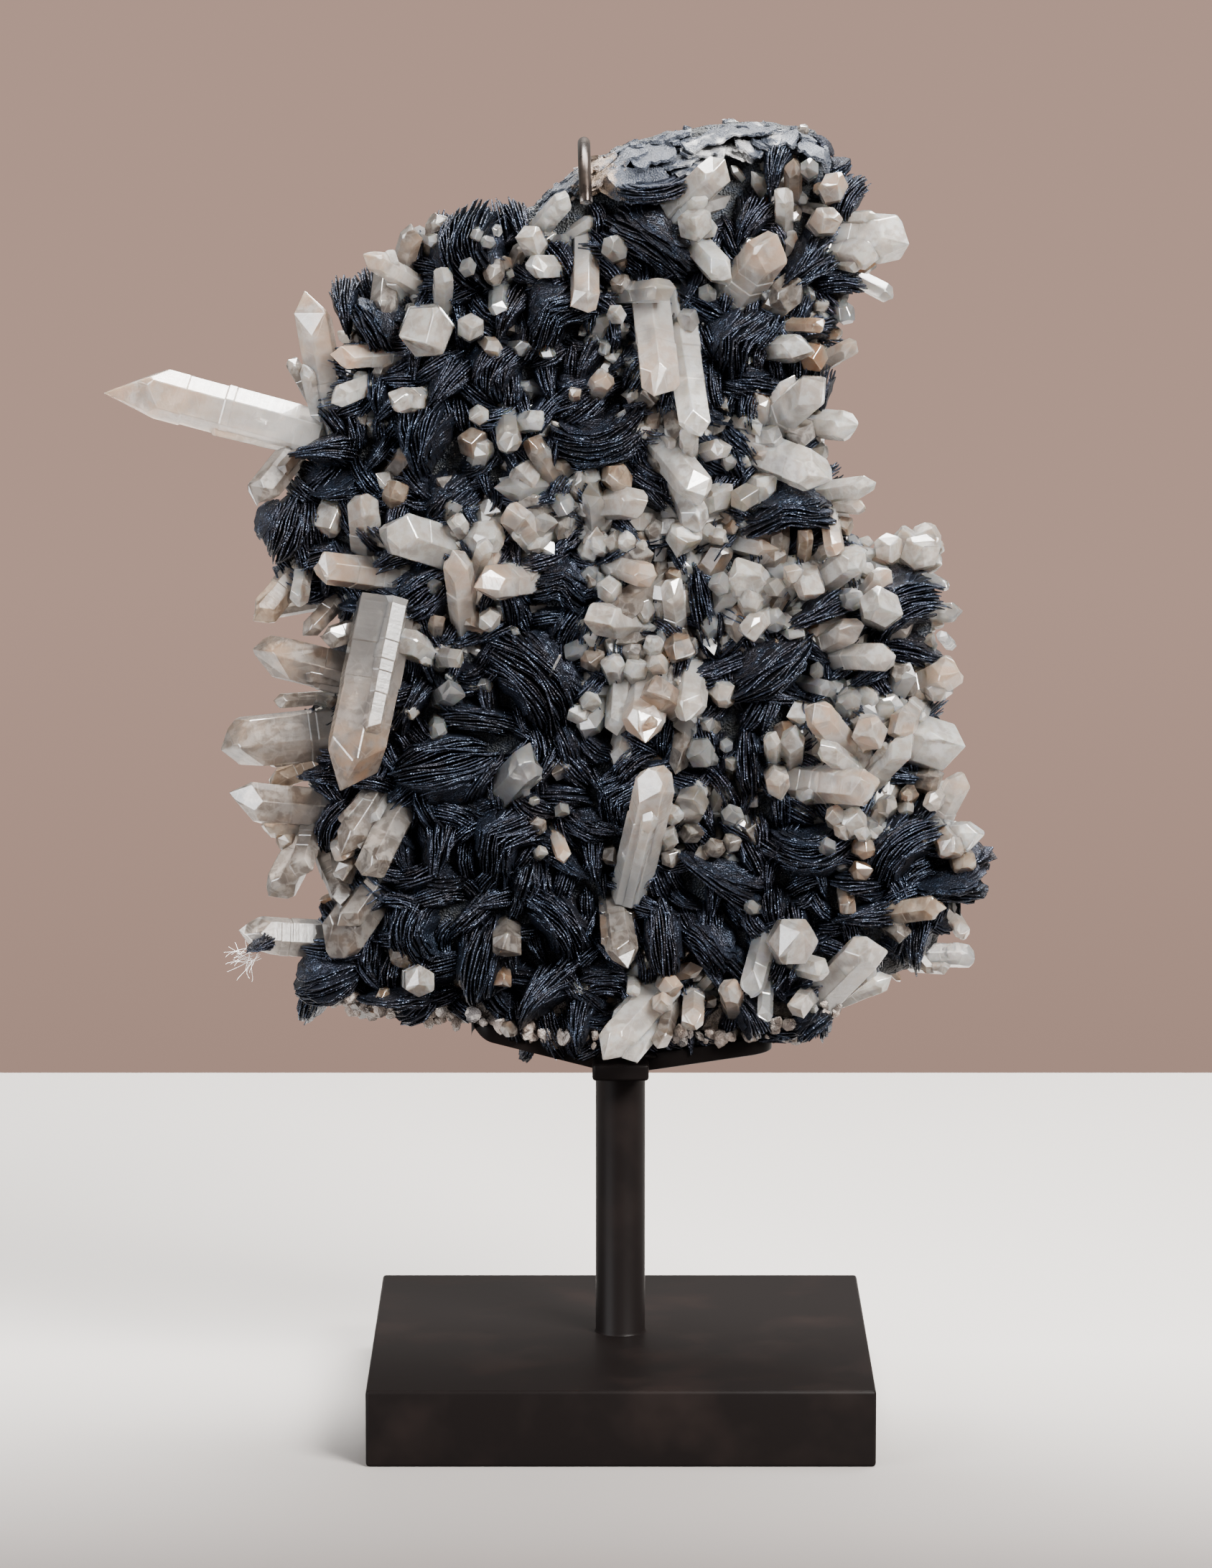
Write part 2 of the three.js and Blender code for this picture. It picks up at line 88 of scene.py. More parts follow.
# Crystals: (tip x, tip z, tip out, root x, root z, root out, width), or for one that points at
# the viewer (x, z, out, width). Out is the distance in front of the plate's middle.
MILKY = [
    (25.5, 319.5, 24, 14, 308, 12, 9), (18.5, 305, 26, 19, 304, 4, 9), (28, 290, 24, 17, 301.5, 10, 9),
    (41, 313.5, 20, 41, 303, 8, 5.5), (39.5, 301, 26, 28, 286, 10, 10.5), (53.5, 314.5, 22, 53, 312, 2, 8),
    (52, 306, 24, 50, 304, 2, 8), (72.5, 300.5, 16, 52, 302, 4, 12.5), (-13, 312, 20, -22, 302, 6, 5.2),
    (-23, 301, 22, -21, 299, 2, 8.5), (-64, 297, 18, -51, 289, 8, 6), (-59, 297.8, 16, -56, 288, 8, 5),
    (-44.5, 293.5, 22, -45, 283, 8, 5), (-49, 277, 26, -49, 279, 4, 13), (-73, 271, 18, -53, 272.5, 8, 6.5),
    (-73, 260.5, 18, -59, 266, 6, 6), (-57.5, 260.5, 26, -48, 260, 10, 6), (-38, 279, 24, -37.5, 278, 4, 7),
    (-31.5, 272.5, 22, -35, 277, 6, 5), (-9, 283.3, 26, -9, 299, 8, 7), (-23, 294, 22, -13, 294, 8, 6.5),
    (-20, 255.5, 26, -28, 254, 10, 5.5), (-36, 257, 20, -35, 255, 6, 5.5),
    (-11.5, 263, 24, -11.5, 258.5, 8, 3.2), (10.5, 261.3, 32, 7.5, 287, 12, 11),
    (19.5, 250, 30, 14, 284, 10, 9), (-1, 282, 24, 5.2), (47.5, 273.5, 24, 34, 273, 6, 8.3),
    (-3.5, 267.3, 24, -8, 259, 10, 6), (17.3, 252.8, 30, 17, 242, 10, 5.5),
    (26.5, 248.5, 28, 18, 246, 10, 5.2), (51.5, 265.5, 28, 37, 253, 8, 9.5),
    (60, 253.5, 18, 47, 254.8, 6, 7.5), (59.2, 274.5, 14, 50, 269.5, 2, 5),
    (54, 240, 24, 27, 250.5, 8, 10.5), (20.5, 226.8, 26, 13, 243, 10, 7.5),
    (21.5, 235, 30, 7.5, 252.5, 12, 9.5), (26, 225.5, 22, 20, 226.5, 8, 4.5),
    (64.5, 238.5, 16, 48, 236.5, 4, 6.5), (62, 233, 14, 50, 234, 4, 4), (54.5, 221, 24, 52.5, 233, 6, 5),
    (62.3, 222.4, 24, 47, 211, 8, 8.5), (48, 211, 26, 47, 219, 6, 7.5), (43, 216.5, 24, 5),
    (66.5, 208.5, 32, 65, 206, 8, 11), (68, 223.3, 14, 68, 221, -2, 7.5), (79, 227.4, 10, 74, 220.5, -4, 8),
    (72, 226.4, 12, 74, 219.5, -4, 8), (80.5, 219, 8, 74, 220.5, -4, 7), (76.4, 222.4, 17, 75, 220, -4, 10),
    (60.5, 203, 24, 48.5, 197, 8, 7.5), (70.3, 194.8, 26, 52, 195, 8, 9), (86.3, 192.2, 13, 75, 187, 2, 9),
    (84, 185.8, 12, 75, 190.5, 0, 8), (6.5, 234.5, 28, -11, 233.4, 10, 8.5), (16, 223, 26, 9),
    (1.5, 226, 24, 1.5, 218, 8, 4.5), (-2, 226, 22, -1, 218, 6, 5), (5.5, 224, 22, 4, 218, 6, 3),
    (-6, 227, 20, -7, 218, 6, 7), (8.5, 215, 28, -4, 219.5, 12, 6.5), (-3, 211.5, 24, -2, 214, 6, 7),
    (12.7, 214.7, 28, 14.5, 201, 12, 6.2), (-8.7, 204, 28, 7.5, 204.6, 10, 9.5),
    (4, 207, 22, 10, 207, 8, 7), (8.5, 199.5, 24, 8, 192, 8, 5.2), (-2.5, 195, 24, 0, 186, 8, 6),
    (4, 193, 24, 4, 187, 6, 6.5), (10.5, 192.5, 26, 5.5), (29.5, 217, 28, 10),
    (33, 211.5, 26, 33, 203, 8, 6.5), (32, 201, 28, 7.5), (-125.5, 264.5, 3, -80, 252.2, 3, 12.5),
    (-78.3, 286.6, 8, -73, 253.5, 2, 10), (-65.5, 236.5, 20, -64, 220, 6, 9), (-75, 228, 16, 9),
    (-77.7, 218, 22, -53, 215, 8, 8), (-82, 207.3, 14, -79.5, 221, 4, 5.5),
    (-60.6, 228, 26, -42, 221.8, 10, 12), (-42.3, 230.7, 22, -36, 222, 8, 5), (-31.5, 226, 26, 9),
    (-34, 224.4, 28, -38, 213, 10, 4.6), (-41.6, 221.6, 28, -39, 200, 10, 8.8),
    (-33, 203.5, 24, -34, 207, 6, 6), (-36.6, 213.5, 28, -20.5, 215.2, 10, 10),
    (-28.3, 233, 26, -20, 222, 10, 7.5), (-25, 242, 22, -22, 238, 6, 8),
    (-56.5, 200.1, 24, -45, 193.3, 8, 8), (-8, 224, 20, -8, 218, 6, 6), (-53.5, 181, 20, 4.5),
    (-14, 142.3, 24, -18.7, 154.5, 8, 4), (-12.3, 180.5, 22, -5, 179.5, 8, 5.5), (-7.5, 184, 24, 5.5),
    (-71, 143, 20, -71, 151, 6, 6), (5.5, 174.4, 30, 7, 191.5, 10, 10.5), (17, 178.3, 28, 19, 195, 10, 8.3),
    (28.5, 183.5, 24, 21, 190, 8, 6.5), (10, 167.1, 34, 3, 137, 14, 11.3), (14, 154, 26, 6),
    (13.5, 149.5, 24, 5.5), (44, 175.2, 26, 43.5, 166, 8, 7), (38.5, 174.6, 28, 39, 164.5, 8, 4.8),
    (40.7, 161, 28, 7.5), (3.3, 108, 22, 3.3, 112.5, 8, 3.8), (13.5, 109.3, 24, 6), (11, 105.5, 26, 5.5),
    (18.5, 99.5, 26, 18.5, 108, 8, 6.2), (-4.5, 91.6, 30, 9.3, 107.6, 12, 9.6),
    (1, 90.8, 28, 11, 103, 10, 7), (28, 109.7, 26, 7), (-51, 110.8, 24, -53, 112.5, 4, 8),
    (48.5, 182.4, 30, 59.3, 169, 12, 7.8), (51, 172.3, 28, 62.5, 163.5, 12, 6),
    (65.6, 161, 30, 45, 163.1, 12, 9.6), (74.4, 174.1, 26, 61.5, 161, 10, 8),
    (86.5, 172, 16, 70, 174.2, 4, 13.5), (63.5, 175, 28, 9), (70.5, 176, 22, 8),
    (87.2, 165, 12, 81, 153, 2, 6.5), (79, 157, 20, 5), (92, 148.5, 15, 81, 149, 2, 9),
    (86.1, 143.8, 18, 81, 150.5, 4, 8), (54.5, 155, 26, 5.5), (60.5, 154, 26, 7), (57, 150, 26, 6),
    (61.5, 150, 26, 4), (63, 146, 22, 7), (45.2, 121.5, 30, 42, 121.4, 4, 12),
    (53.5, 113.5, 20, 41, 117, 8, 6), (65.9, 122.1, 22, 51, 107, 6, 11), (69, 112, 10, 54, 106, 2, 6),
    (45.5, 104.3, 24, 6.8), (88, 123, 8, 85, 128, -2, 4), (84, 114.5, 8, 77, 115, -2, 3.5),
    (-20, 145, 22, 3.5), (-46, 300, 16, 4.5), (-15.3, 195.5, 30, -17.5, 191, 24, 0.7),
    (66, 296.5, 18, 50, 298, 4, 8.5),
]
CLEAR = [
    (-1.5, 299, 24, -1.5, 297, 4, 7), (47.5, 319, 20, 47, 317, 2, 5), (-36.5, 301.5, 24, 3.6),
    (-33.5, 300.5, 24, 4), (-31, 303, 23, 3), (68.5, 286.5, 12, 57, 292.5, 2, 5),
    (58.5, 281, 14, 50, 286.5, 2, 5.5), (-23.5, 273.5, 20, -30, 273, 8, 4.5),
    (-17.5, 272, 20, -22, 274, 8, 4), (-31, 282, 22, -30.5, 291, 8, 4.8),
    (-38.5, 294, 24, -38.5, 293, 6, 5), (-28, 247.5, 26, -29, 259.5, 10, 6.5),
    (-20.2, 249, 22, -18, 240, 8, 5), (12.8, 288.5, 26, -3, 286.5, 10, 6),
    (-4.2, 272.5, 20, -3.5, 278, 6, 3.6), (17.5, 281.5, 22, 6), (22, 287.5, 22, 21, 286, 6, 5),
    (27.5, 243.8, 22, 26.5, 248, 8, 4), (61, 209.7, 22, 53, 209.5, 8, 6), (83, 212.6, 8, 79, 215, 0, 3.5),
    (86.6, 206.5, 8, 78, 206, 0, 5.5), (50, 191.5, 20, 49, 191, 4, 4.5), (54, 186.5, 24, 46, 188.5, 10, 5),
    (31.5, 236, 26, 31.5, 235, 4, 8), (22.5, 205.7, 22, 22.5, 194, 8, 5.5), (24.5, 214, 26, 6),
    (37, 211.5, 24, 9), (38, 213, 26, 5), (40, 203.5, 22, 6.5), (-41.8, 234.5, 20, -46, 226, 8, 4.5),
    (-8, 240, 20, 8), (-41, 194.5, 26, -47, 195, 10, 5), (-42, 186.5, 24, 6.8), (-34.5, 187.5, 20, 4),
    (-47, 213, 22, 4), (-46.5, 175, 24, -46.5, 180, 8, 4.6), (-21.4, 169.9, 28, -32, 158.5, 10, 9.8),
    (-15, 155, 22, 4), (-22, 158, 22, 3), (22, 178, 22, 3.8), (21, 169.5, 26, 8), (28.3, 168, 22, 4),
    (27, 172, 22, 3.5), (19.3, 159.7, 26, 8.7), (28.7, 155, 24, 5.8), (46.3, 160, 26, 4.6),
    (33, 130.5, 22, 4), (33, 107, 26, 37.5, 124.5, 10, 6.3), (37, 100.7, 24, 37.5, 116, 8, 4.5),
    (58.5, 186, 20, 57, 178, 6, 6.5), (69, 182, 18, 63, 180.5, 6, 5.5), (68, 158, 22, 67.5, 154, 6, 5.5),
    (52.5, 146.2, 26, 4.6), (91, 118, 8, 80, 118, 0, 6.5), (49.5, 104, 20, 2.4), (81.5, 200.5, 10, 3),
]
SMOKY = [
    (43.3, 320.5, 18, 43.3, 309, 6, 4.5), (-45.5, 308, 14, -47, 296, 6, 6), (-52, 304, 16, -55, 294, 6, 6),
    (-60, 281.5, 16, -59, 290, 6, 7), (-32, 290, 22, -32, 297, 8, 6), (-38, 249.5, 22, -36, 249.5, 6, 8),
    (0, 290, 20, 0, 289, 4, 5.5), (45, 290, 20, 35, 282, 6, 9), (8.5, 260, 18, 1, 264, 6, 6.5),
    (13.7, 250.5, 22, 13, 261.5, 8, 5.5), (26, 258, 18, 25, 262, 6, 7), (33, 263, 16, 30, 264, 6, 6),
    (37, 258.5, 16, 28, 256.5, 5, 5), (45, 252, 20, 46, 253, 4, 8), (18, 229, 20, 2, 228.2, 8, 8),
    (9, 220, 18, 13, 211, 8, 5), (15.5, 194.4, 24, 14, 204.5, 8, 7.5), (5, 195.5, 22, -4.5, 199.5, 8, 5),
    (8, 187, 30, 9), (-7, 194, 22, 6.5), (25.5, 190.5, 16, 23, 196, 6, 6), (27.5, 228, 18, 4),
    (37.5, 219, 16, 37.5, 216, 4, 4.5), (70.5, 193, 14, 73.5, 184, 4, 5.5),
    (-92.8, 234.5, 10, -81, 249, 2, 8), (-83.5, 271, 6, -77, 260, 2, 4),
    (-93, 205.5, 4, -76, 208.5, 0, 3.5), (-80.5, 200.3, 12, -72, 209, 4, 5.5),
    (-76, 199.3, 16, -55, 205.5, 8, 6), (-93.7, 196.5, 8, -66, 189.8, 4, 12),
    (-69.5, 161.2, 32, -60, 205, 16, 16), (-101.7, 172.3, 8, -67, 176.2, 4, 13.7),
    (-88, 183.5, 6, -76, 184.5, 0, 4), (-98.3, 158, 10, -68, 155, 4, 10.6),
    (-88.8, 132, 10, -78, 152.5, 2, 8.5), (-82.5, 137.7, 16, -78, 152, 6, 6.5),
    (-70, 137.5, 18, -71, 146, 6, 6.5), (-70.5, 131, 16, -74, 141, 6, 5.5),
    (-66.5, 146.5, 20, -68, 154, 6, 6), (-65, 138.3, 26, -55.3, 157.8, 10, 8.8),
    (-71.2, 145.2, 22, -60, 162, 8, 8.2), (-75.5, 116.8, 16, -61, 138, 6, 13),
    (-97.7, 123.5, 8, -72, 122, 4, 10.6), (-27, 234, 20, -9.5, 230.5, 6, 9),
    (-46.5, 205.5, 22, -47.5, 196, 8, 4.2), (-51, 202, 18, -57, 203, 6, 5),
    (-26, 208.7, 18, -30, 204.5, 6, 3.2), (-17, 165.5, 20, -9, 168.7, 8, 5.5), (-20.5, 151, 22, 4.5),
    (13, 164, 18, 4, 171, 8, 5.8), (33.2, 150.3, 18, 8), (18.5, 149.5, 22, 6.5), (24, 146, 22, 5.5),
    (28.5, 147.5, 20, 5), (13, 143.5, 20, 5.5), (-2, 143, 20, 5), (1, 115, 24, -2, 136, 8, 8),
    (10.2, 94.3, 24, 13, 106, 8, 5.2), (-29, 119, 26, -29.3, 127, 4, 8), (-30, 110, 22, -31, 118, 6, 5),
    (-56, 117, 18, -55, 120.5, 2, 7.5), (-29, 98.5, 20, 4.5), (41.5, 177.5, 20, 42, 171, 6, 5.5),
    (82, 163, 14, 74, 163.5, 4, 6.5), (77, 149, 18, 4.5), (61.5, 140.5, 20, 6),
    (58.5, 128.5, 18, 56.5, 138, 8, 4.5), (73.5, 122.7, 16, 67, 127, 6, 5),
    (-30, 232, 16, -38.5, 235.1, 6, 7.5),
]
BROWN = [
    (64, 294, 14, 52, 297, 2, 5), (51.5, 279.2, 22, 37, 279.5, 6, 4.2), (49, 271, 18, 47, 272, -2, 7.5),
    (57.5, 228, 12, 55, 230, 0, 5), (47, 227.5, 20, 45.5, 215, 6, 4.5), (15, 216.5, 20, 10, 215, 6, 5),
    (-92.5, 204, 8, -82, 216.5, 2, 7.6), (-90, 162.5, 6, -79, 167, 0, 6), (-92, 152.5, 8, -79, 151, 2, 7),
    (-86.5, 145.3, 8, -83, 153, 2, 5), (-77, 131.5, 6, -71, 133, 2, 3.5),
    (-57, 239.3, 20, -57, 231, 8, 6.5), (1, 240.1, 26, 7.8), (82.7, 130.8, 18, 60, 128, 4, 7.2),
    (88.5, 141, 14, 86, 144, 2, 6.5), (-61, 106.5, 18, -60, 109, 4, 4.5), (7.5, 178.5, 33, 3),
    (73, 159, 20, 3),
]

# Hematite roses: (x, z, out, half length, half stack, angle of the plates in degrees, form).
ROSES = [
    (-37, 299, 12, 11, 11, 100, "arc"), (8, 300, 13, 13, 8, -35, "arc"), (33, 305, 11, 8, 7, 60, "fan"),
    (57, 311, 7, 7, 5.5, 60, "arc"), (46, 293, 12, 10, 8, 40, "fan"), (55, 290, 9, 7, 4.5, 0, "arc"),
    (-69, 284, 9, 8, 5, 95, "fan"), (-62, 279, 12, 8, 6, -60, "arc"), (-75, 247, 11, 8.5, 6, 5, "fan"),
    (-44, 264, 13, 9, 7, 50, "fan"), (-31, 268, 14, 8, 8, 65, "arc"),
    (-16, 282, 14, 10.5, 9, 40, "chevron"), (-28, 282, 12, 8, 6, 70, "fan"),
    (-49, 250, 14, 10.5, 11.5, 88, "fan"), (-12, 263, 13, 5, 5, 20, "arc"),
    (-5, 252, 15, 13.5, 9, 14, "smile"), (29, 276, 13, 10.5, 9.5, 60, "chevron"),
    (51.5, 263, 9, 6.5, 3.6, 85, "fan"), (-84.5, 228, 7, 9.5, 8, 70, "lemon"),
    (-71, 238, 9, 8, 5, 10, "fan"), (-43, 236, 12, 8.5, 6.5, 40, "arc"),
    (-50, 211, 12, 10, 8.5, 35, "lemon"), (-64, 208, 9, 8, 4.5, 0, "fan"),
    (-15, 213, 13, 8.5, 9, -20, "chevron"), (-14, 224, 12, 7, 5, 40, "fan"),
    (-13, 203, 12, 8, 6, 60, "arc"), (-22, 189, 15, 15, 12, -50, "arc"),
    (-45, 167, 15, 14, 10.5, 12, "lemon"), (-36, 179, 12, 12, 5.5, -8, "arc"),
    (-51, 183, 11, 9, 4.5, 65, "fan"), (-29.5, 148, 15, 10.5, 10, 50, "chevron"),
    (-47, 146, 11, 10.5, 8, 80, "fan"), (20.5, 209, 13, 11, 4.5, 100, "lemon"),
    (37.5, 192, 15, 13, 8, 35, "lemon"), (49, 206, 13, 11, 5.5, 25, "fan"),
    (42, 232, 14, 12.5, 7.5, 8, "chevron"), (25, 237, 12, 8, 5, 55, "fan"),
    (71.5, 208, 10, 11, 9.5, 25, "arc"), (33, 168, 13, 10, 5, 95, "lemon"),
    (49, 147, 14, 11.5, 8.5, 5, "smile"), (72, 146, 12, 11, 8, 42, "arc"),
    (83.5, 136.5, 7, 10.5, 6.5, 0, "fan"), (25, 139, 13, 14, 7.5, -33, "fan"),
    (11, 122, 14, 12, 6, 95, "lemon"), (22, 121, 12, 9, 7, -50, "arc"),
    (-35, 116, 13, 12, 7.5, 78, "lemon"), (-20, 107, 13, 10, 7.5, 55, "fan"),
    (-16, 126, 12, 11, 7.5, -55, "arc"), (-10, 100, 13, 8, 4.6, 88, "fan"), (-4, 113, 13, 6, 4, 0, "arc"),
    (32, 103, 12, 8, 5.5, -55, "fan"), (76, 121, 7, 8, 6.5, 88, "fan"), (49, 100, 11, 5.5, 4.5, 40, "arc"),
    (-76, 164, 8, 6.5, 5, 0, "fan"), (-52, 125, 11, 9.5, 8, 85, "arc"), (-75, 112, 8, 9.5, 8, 20, "lemon"),
    (-58, 107, 11, 10, 4, 0, "fan"), (5, 177, 12, 9.5, 4.5, 0, "fan"), (0, 158, 11, 8, 8, 60, "chevron"),
    (62, 128, 9, 9, 6, 5, "fan"), (3, 168, 12, 8, 5, 40, "arc"), (39, 318, 10, 8, 5, 80, "fan"),
    (9, 314, 13, 11, 4, 8, "smile"), (-60, 222, 8, 7, 5, 70, "fan"), (-72, 152, 8, 8, 6, 60, "arc"),
    (62, 190, 10, 7, 5, 30, "fan"), (-92, 120.5, 12, 4, 3, 20, "fan"),
]

# Patches of small crystals: (x, z, spread, how many, widest).
DRUSE = [
    (12, 206, 19, 70, 9.5), (62, 172, 18, 84, 8.6), (57, 216, 17, 50, 8.0), (-36, 224, 24, 50, 8.0),
    (18, 262, 26, 40, 7.6), (50, 284, 15, 40, 7.0), (-30, 288, 18, 44, 5.4), (20, 158, 15, 34, 6.4),
    (14, 101, 24, 60, 6.0), (-70, 196, 18, 26, 6.0), (-66, 264, 15, 30, 5.6), (-4, 234, 16, 50, 9.5),
    (-60, 118, 16, 18, 5.0), (46, 246, 14, 36, 9.0), (-2, 282, 13, 26, 6.0), (46, 312, 10, 18, 5.4),
    (76, 158, 12, 36, 7.0), (-45, 200, 14, 24, 6.0), (-70, 148, 12, 20, 5.4), (6, 188, 13, 34, 8.6),
    (40, 206, 12, 30, 7.6), (-22, 256, 14, 20, 5.4), (80, 200, 10, 22, 5.0), (60, 150, 12, 34, 7.0),
    (26, 228, 14, 30, 9.0), (-44, 200, 12, 18, 5.0),
]

# The wire's middle line: up the back, over the top edge and down the front.
WIRE_ROUTE = [
    (-0.2, 25.8, 228), (-3, 25.8, 262), (-7, 25.6, 292), (-9, 24.6, 311), (-9.3, 18, 321.3),
    (-9.3, 7, 325.3), (-9.2, -6, 323.9), (-9, -15.5, 318.2), (-8.6, -18.6, 311.3),
]


class StandSizes(bpy.types.PropertyGroup):
    """Sizes of the display stand."""

    block_edge: bpy.props.FloatProperty(
        name="Block edge", description="Rounding of the block's edges", default=0.9 * MM, unit="LENGTH")
    post_diameter: bpy.props.FloatProperty(
        name="Post diameter", description="Width of the round post",
        default=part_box("stand_post")[1].x * 2, unit="LENGTH")
    wire_diameter: bpy.props.FloatProperty(
        name="Wire diameter", description="Thickness of the hook's wire",
        default=3.2 * MM, unit="LENGTH")
    stem_diameter: bpy.props.FloatProperty(
        name="Stem diameter", description="Thickness of the hook's back stem",
        default=6.4 * MM, unit="LENGTH")
    bar_thickness: bpy.props.FloatProperty(
        name="Bar thickness", description="Thickness of the cradle's flat bars",
        default=4.4 * MM, unit="LENGTH")
    bar_depth: bpy.props.FloatProperty(
        name="Bar depth", description="Width of the cradle's flat bars", default=13 * MM, unit="LENGTH")


class MineralColours(bpy.types.PropertyGroup):
    """Colours of the minerals and the paint."""

    milky: bpy.props.FloatVectorProperty(
        name="Milky quartz", description="Clouded quartz", default=(0.84, 0.79, 0.71), subtype="COLOR")
    clear: bpy.props.FloatVectorProperty(
        name="Clear quartz", description="Glassy quartz", default=(0.95, 0.94, 0.92), subtype="COLOR")
    smoky: bpy.props.FloatVectorProperty(
        name="Smoky quartz", description="Greyish quartz", default=(0.25, 0.205, 0.17), subtype="COLOR")
    brown: bpy.props.FloatVectorProperty(
        name="Stained quartz", description="Iron-stained quartz", default=(0.56, 0.41, 0.29), subtype="COLOR")
    hematite: bpy.props.FloatVectorProperty(
        name="Hematite", description="Blue-black plates", default=(0.011, 0.016, 0.029), subtype="COLOR")
    rock: bpy.props.FloatVectorProperty(
        name="Rock", description="Earthy rock behind the crystals",
        default=(0.30, 0.25, 0.21), subtype="COLOR")
    paint: bpy.props.FloatVectorProperty(
        name="Paint", description="Black paint of the stand",
        default=(0.0034, 0.0026, 0.0025), subtype="COLOR")


def sizes():
    return bpy.context.scene.stand_sizes


def colours():
    return bpy.context.scene.mineral_colours


def sight(x, z, out):
    """The place, in metres, seen at a reading of the front view and so far in front of its plane."""
    nearness = (-EYE.y - out * MM) / -EYE.y
    return Vector((EYE.x + (x * MM - EYE.x) * nearness, -out * MM, EYE.z + (z * MM - EYE.z) * nearness))


def plate_place(angle, reach, deep):
    """The place, in metres, so far from the plate's middle in one direction and so far behind it."""
    return Vector((PLATE_CENTRE[0] + math.cos(angle) * reach, deep,
                   PLATE_CENTRE[1] + math.sin(angle) * reach)) * MM


def outline_reach(angle):
    """Distance in mm from the plate's middle to its outline in one direction."""
    x, z = PLATE_CENTRE
    turns = sorted((math.atan2(b - z, a - x), math.hypot(a - x, b - z)) for a, b in PLATE_OUTLINE)
    angles = [turns[-1][0] - math.tau] + [turn for turn, _ in turns] + [turns[0][0] + math.tau]
    reaches = [turns[-1][1]] + [reach for _, reach in turns] + [turns[0][1]]
    return float(np.interp(angle, angles, reaches))


def front_of_plate(x, z):
    """How far in front of its middle the plate's surface lies at a reading, or None outside it."""
    dx, dz = x - PLATE_CENTRE[0], z - PLATE_CENTRE[1]
    share = math.hypot(dx, dz) / outline_reach(math.atan2(dz, dx))
    if share >= 1:
        return None
    return PLATE_FRONT * math.sqrt(1 - (share ** (1 / RIM_FULLNESS)) ** 2)


def clear_selection():
    """Leaves edit mode and deselects everything."""
    if bpy.context.object and bpy.context.object.mode != "OBJECT":
        bpy.ops.object.mode_set(mode="OBJECT")
    bpy.ops.object.select_all(action="DESELECT")


def pick(obj):
    clear_selection()
    obj.select_set(True)
    bpy.context.view_layer.objects.active = obj


def apply_all(obj):
    """Applies the modifiers and the object's own place, so that its place is in its mesh."""
    pick(obj)
    for modifier in list(obj.modifiers):
        bpy.ops.object.modifier_apply(modifier=modifier.name)
    bpy.ops.object.transform_apply(location=True, rotation=True, scale=True)


def join(parts, name):
    clear_selection()
    for part in parts:
        part.select_set(True)
    bpy.context.view_layer.objects.active = parts[0]
    bpy.ops.object.join()
    parts[0].name = name
    return parts[0]


def edit(obj, select="SELECT"):
    """Opens a shape in edit mode, with all of it selected or none."""
    pick(obj)
    bpy.ops.object.mode_set(mode="EDIT")
    bpy.ops.mesh.select_all(action=select)


def new_box(middle, edges):
    """A box by its middle and the lengths of its edges."""
    clear_selection()
    bpy.ops.mesh.primitive_cube_add(size=1, location=middle)
    box = bpy.context.object
    box.scale = edges
    apply_all(box)
    return box


def soften(obj, width, segments, sharper_than=None):
    """Rounds a shape's edges, or those that turn by more than so many degrees."""
    bevel = obj.modifiers.new("Soft", "BEVEL")
    bevel.width = width
    bevel.segments = segments
    if sharper_than:
        bevel.limit_method = "ANGLE"
        bevel.angle_limit = math.radians(sharper_than)
    apply_all(obj)


def outward(obj):
    """Turns every face outwards."""
    edit(obj)
    bpy.ops.mesh.normals_make_consistent(inside=False)
    bpy.ops.object.mode_set(mode="OBJECT")


def smooth(obj, degrees):
    pick(obj)
    bpy.ops.object.shade_smooth_by_angle(angle=math.radians(degrees))


def finish_piece(obj, slot, material, *nodes):
    """Gives a piece its finish and ties it to the solid parts."""
    obj.data.materials.clear()
    obj.data.materials.append(material)
    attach(obj, BODY)
    if nodes:
        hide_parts(*nodes)


def new_object(name, data):
    obj = bpy.data.objects.new(name, data)
    bpy.context.scene.collection.objects.link(obj)
    return obj


def shape_of(obj):
    """A modelled shape's points and faces; the object itself goes."""
    points = np.empty(len(obj.data.vertices) * 3)
    obj.data.vertices.foreach_get("co", points)
    faces = [np.array(face.vertices) for face in obj.data.polygons]
    bpy.data.objects.remove(obj)
    return points.reshape(-1, 3), faces


def copied_together(name, copies, attributes=()):
    """One object from many copies: each is its points, its faces and its attributes' values."""
    faces = []
    start = 0
    for points, own_faces, _ in copies:
        faces.extend((face + start).tolist() for face in own_faces)
        start += len(points)
    mesh = bpy.data.meshes.new(name)
    mesh.from_pydata(np.concatenate([points for points, _, _ in copies]).tolist(), [], faces)
    for place, attribute in enumerate(attributes):
        layer = mesh.attributes.new(attribute, "FLOAT", "POINT")
        values = [np.broadcast_to(own[place], len(points)) for points, _, own in copies]
        layer.data.foreach_set("value", np.concatenate(values).astype(np.float32))
    return new_object(name, mesh)


# Shader node groups and materials


CRACK_WIDTH = 0.06
QUARTZ_IOR = 1.544

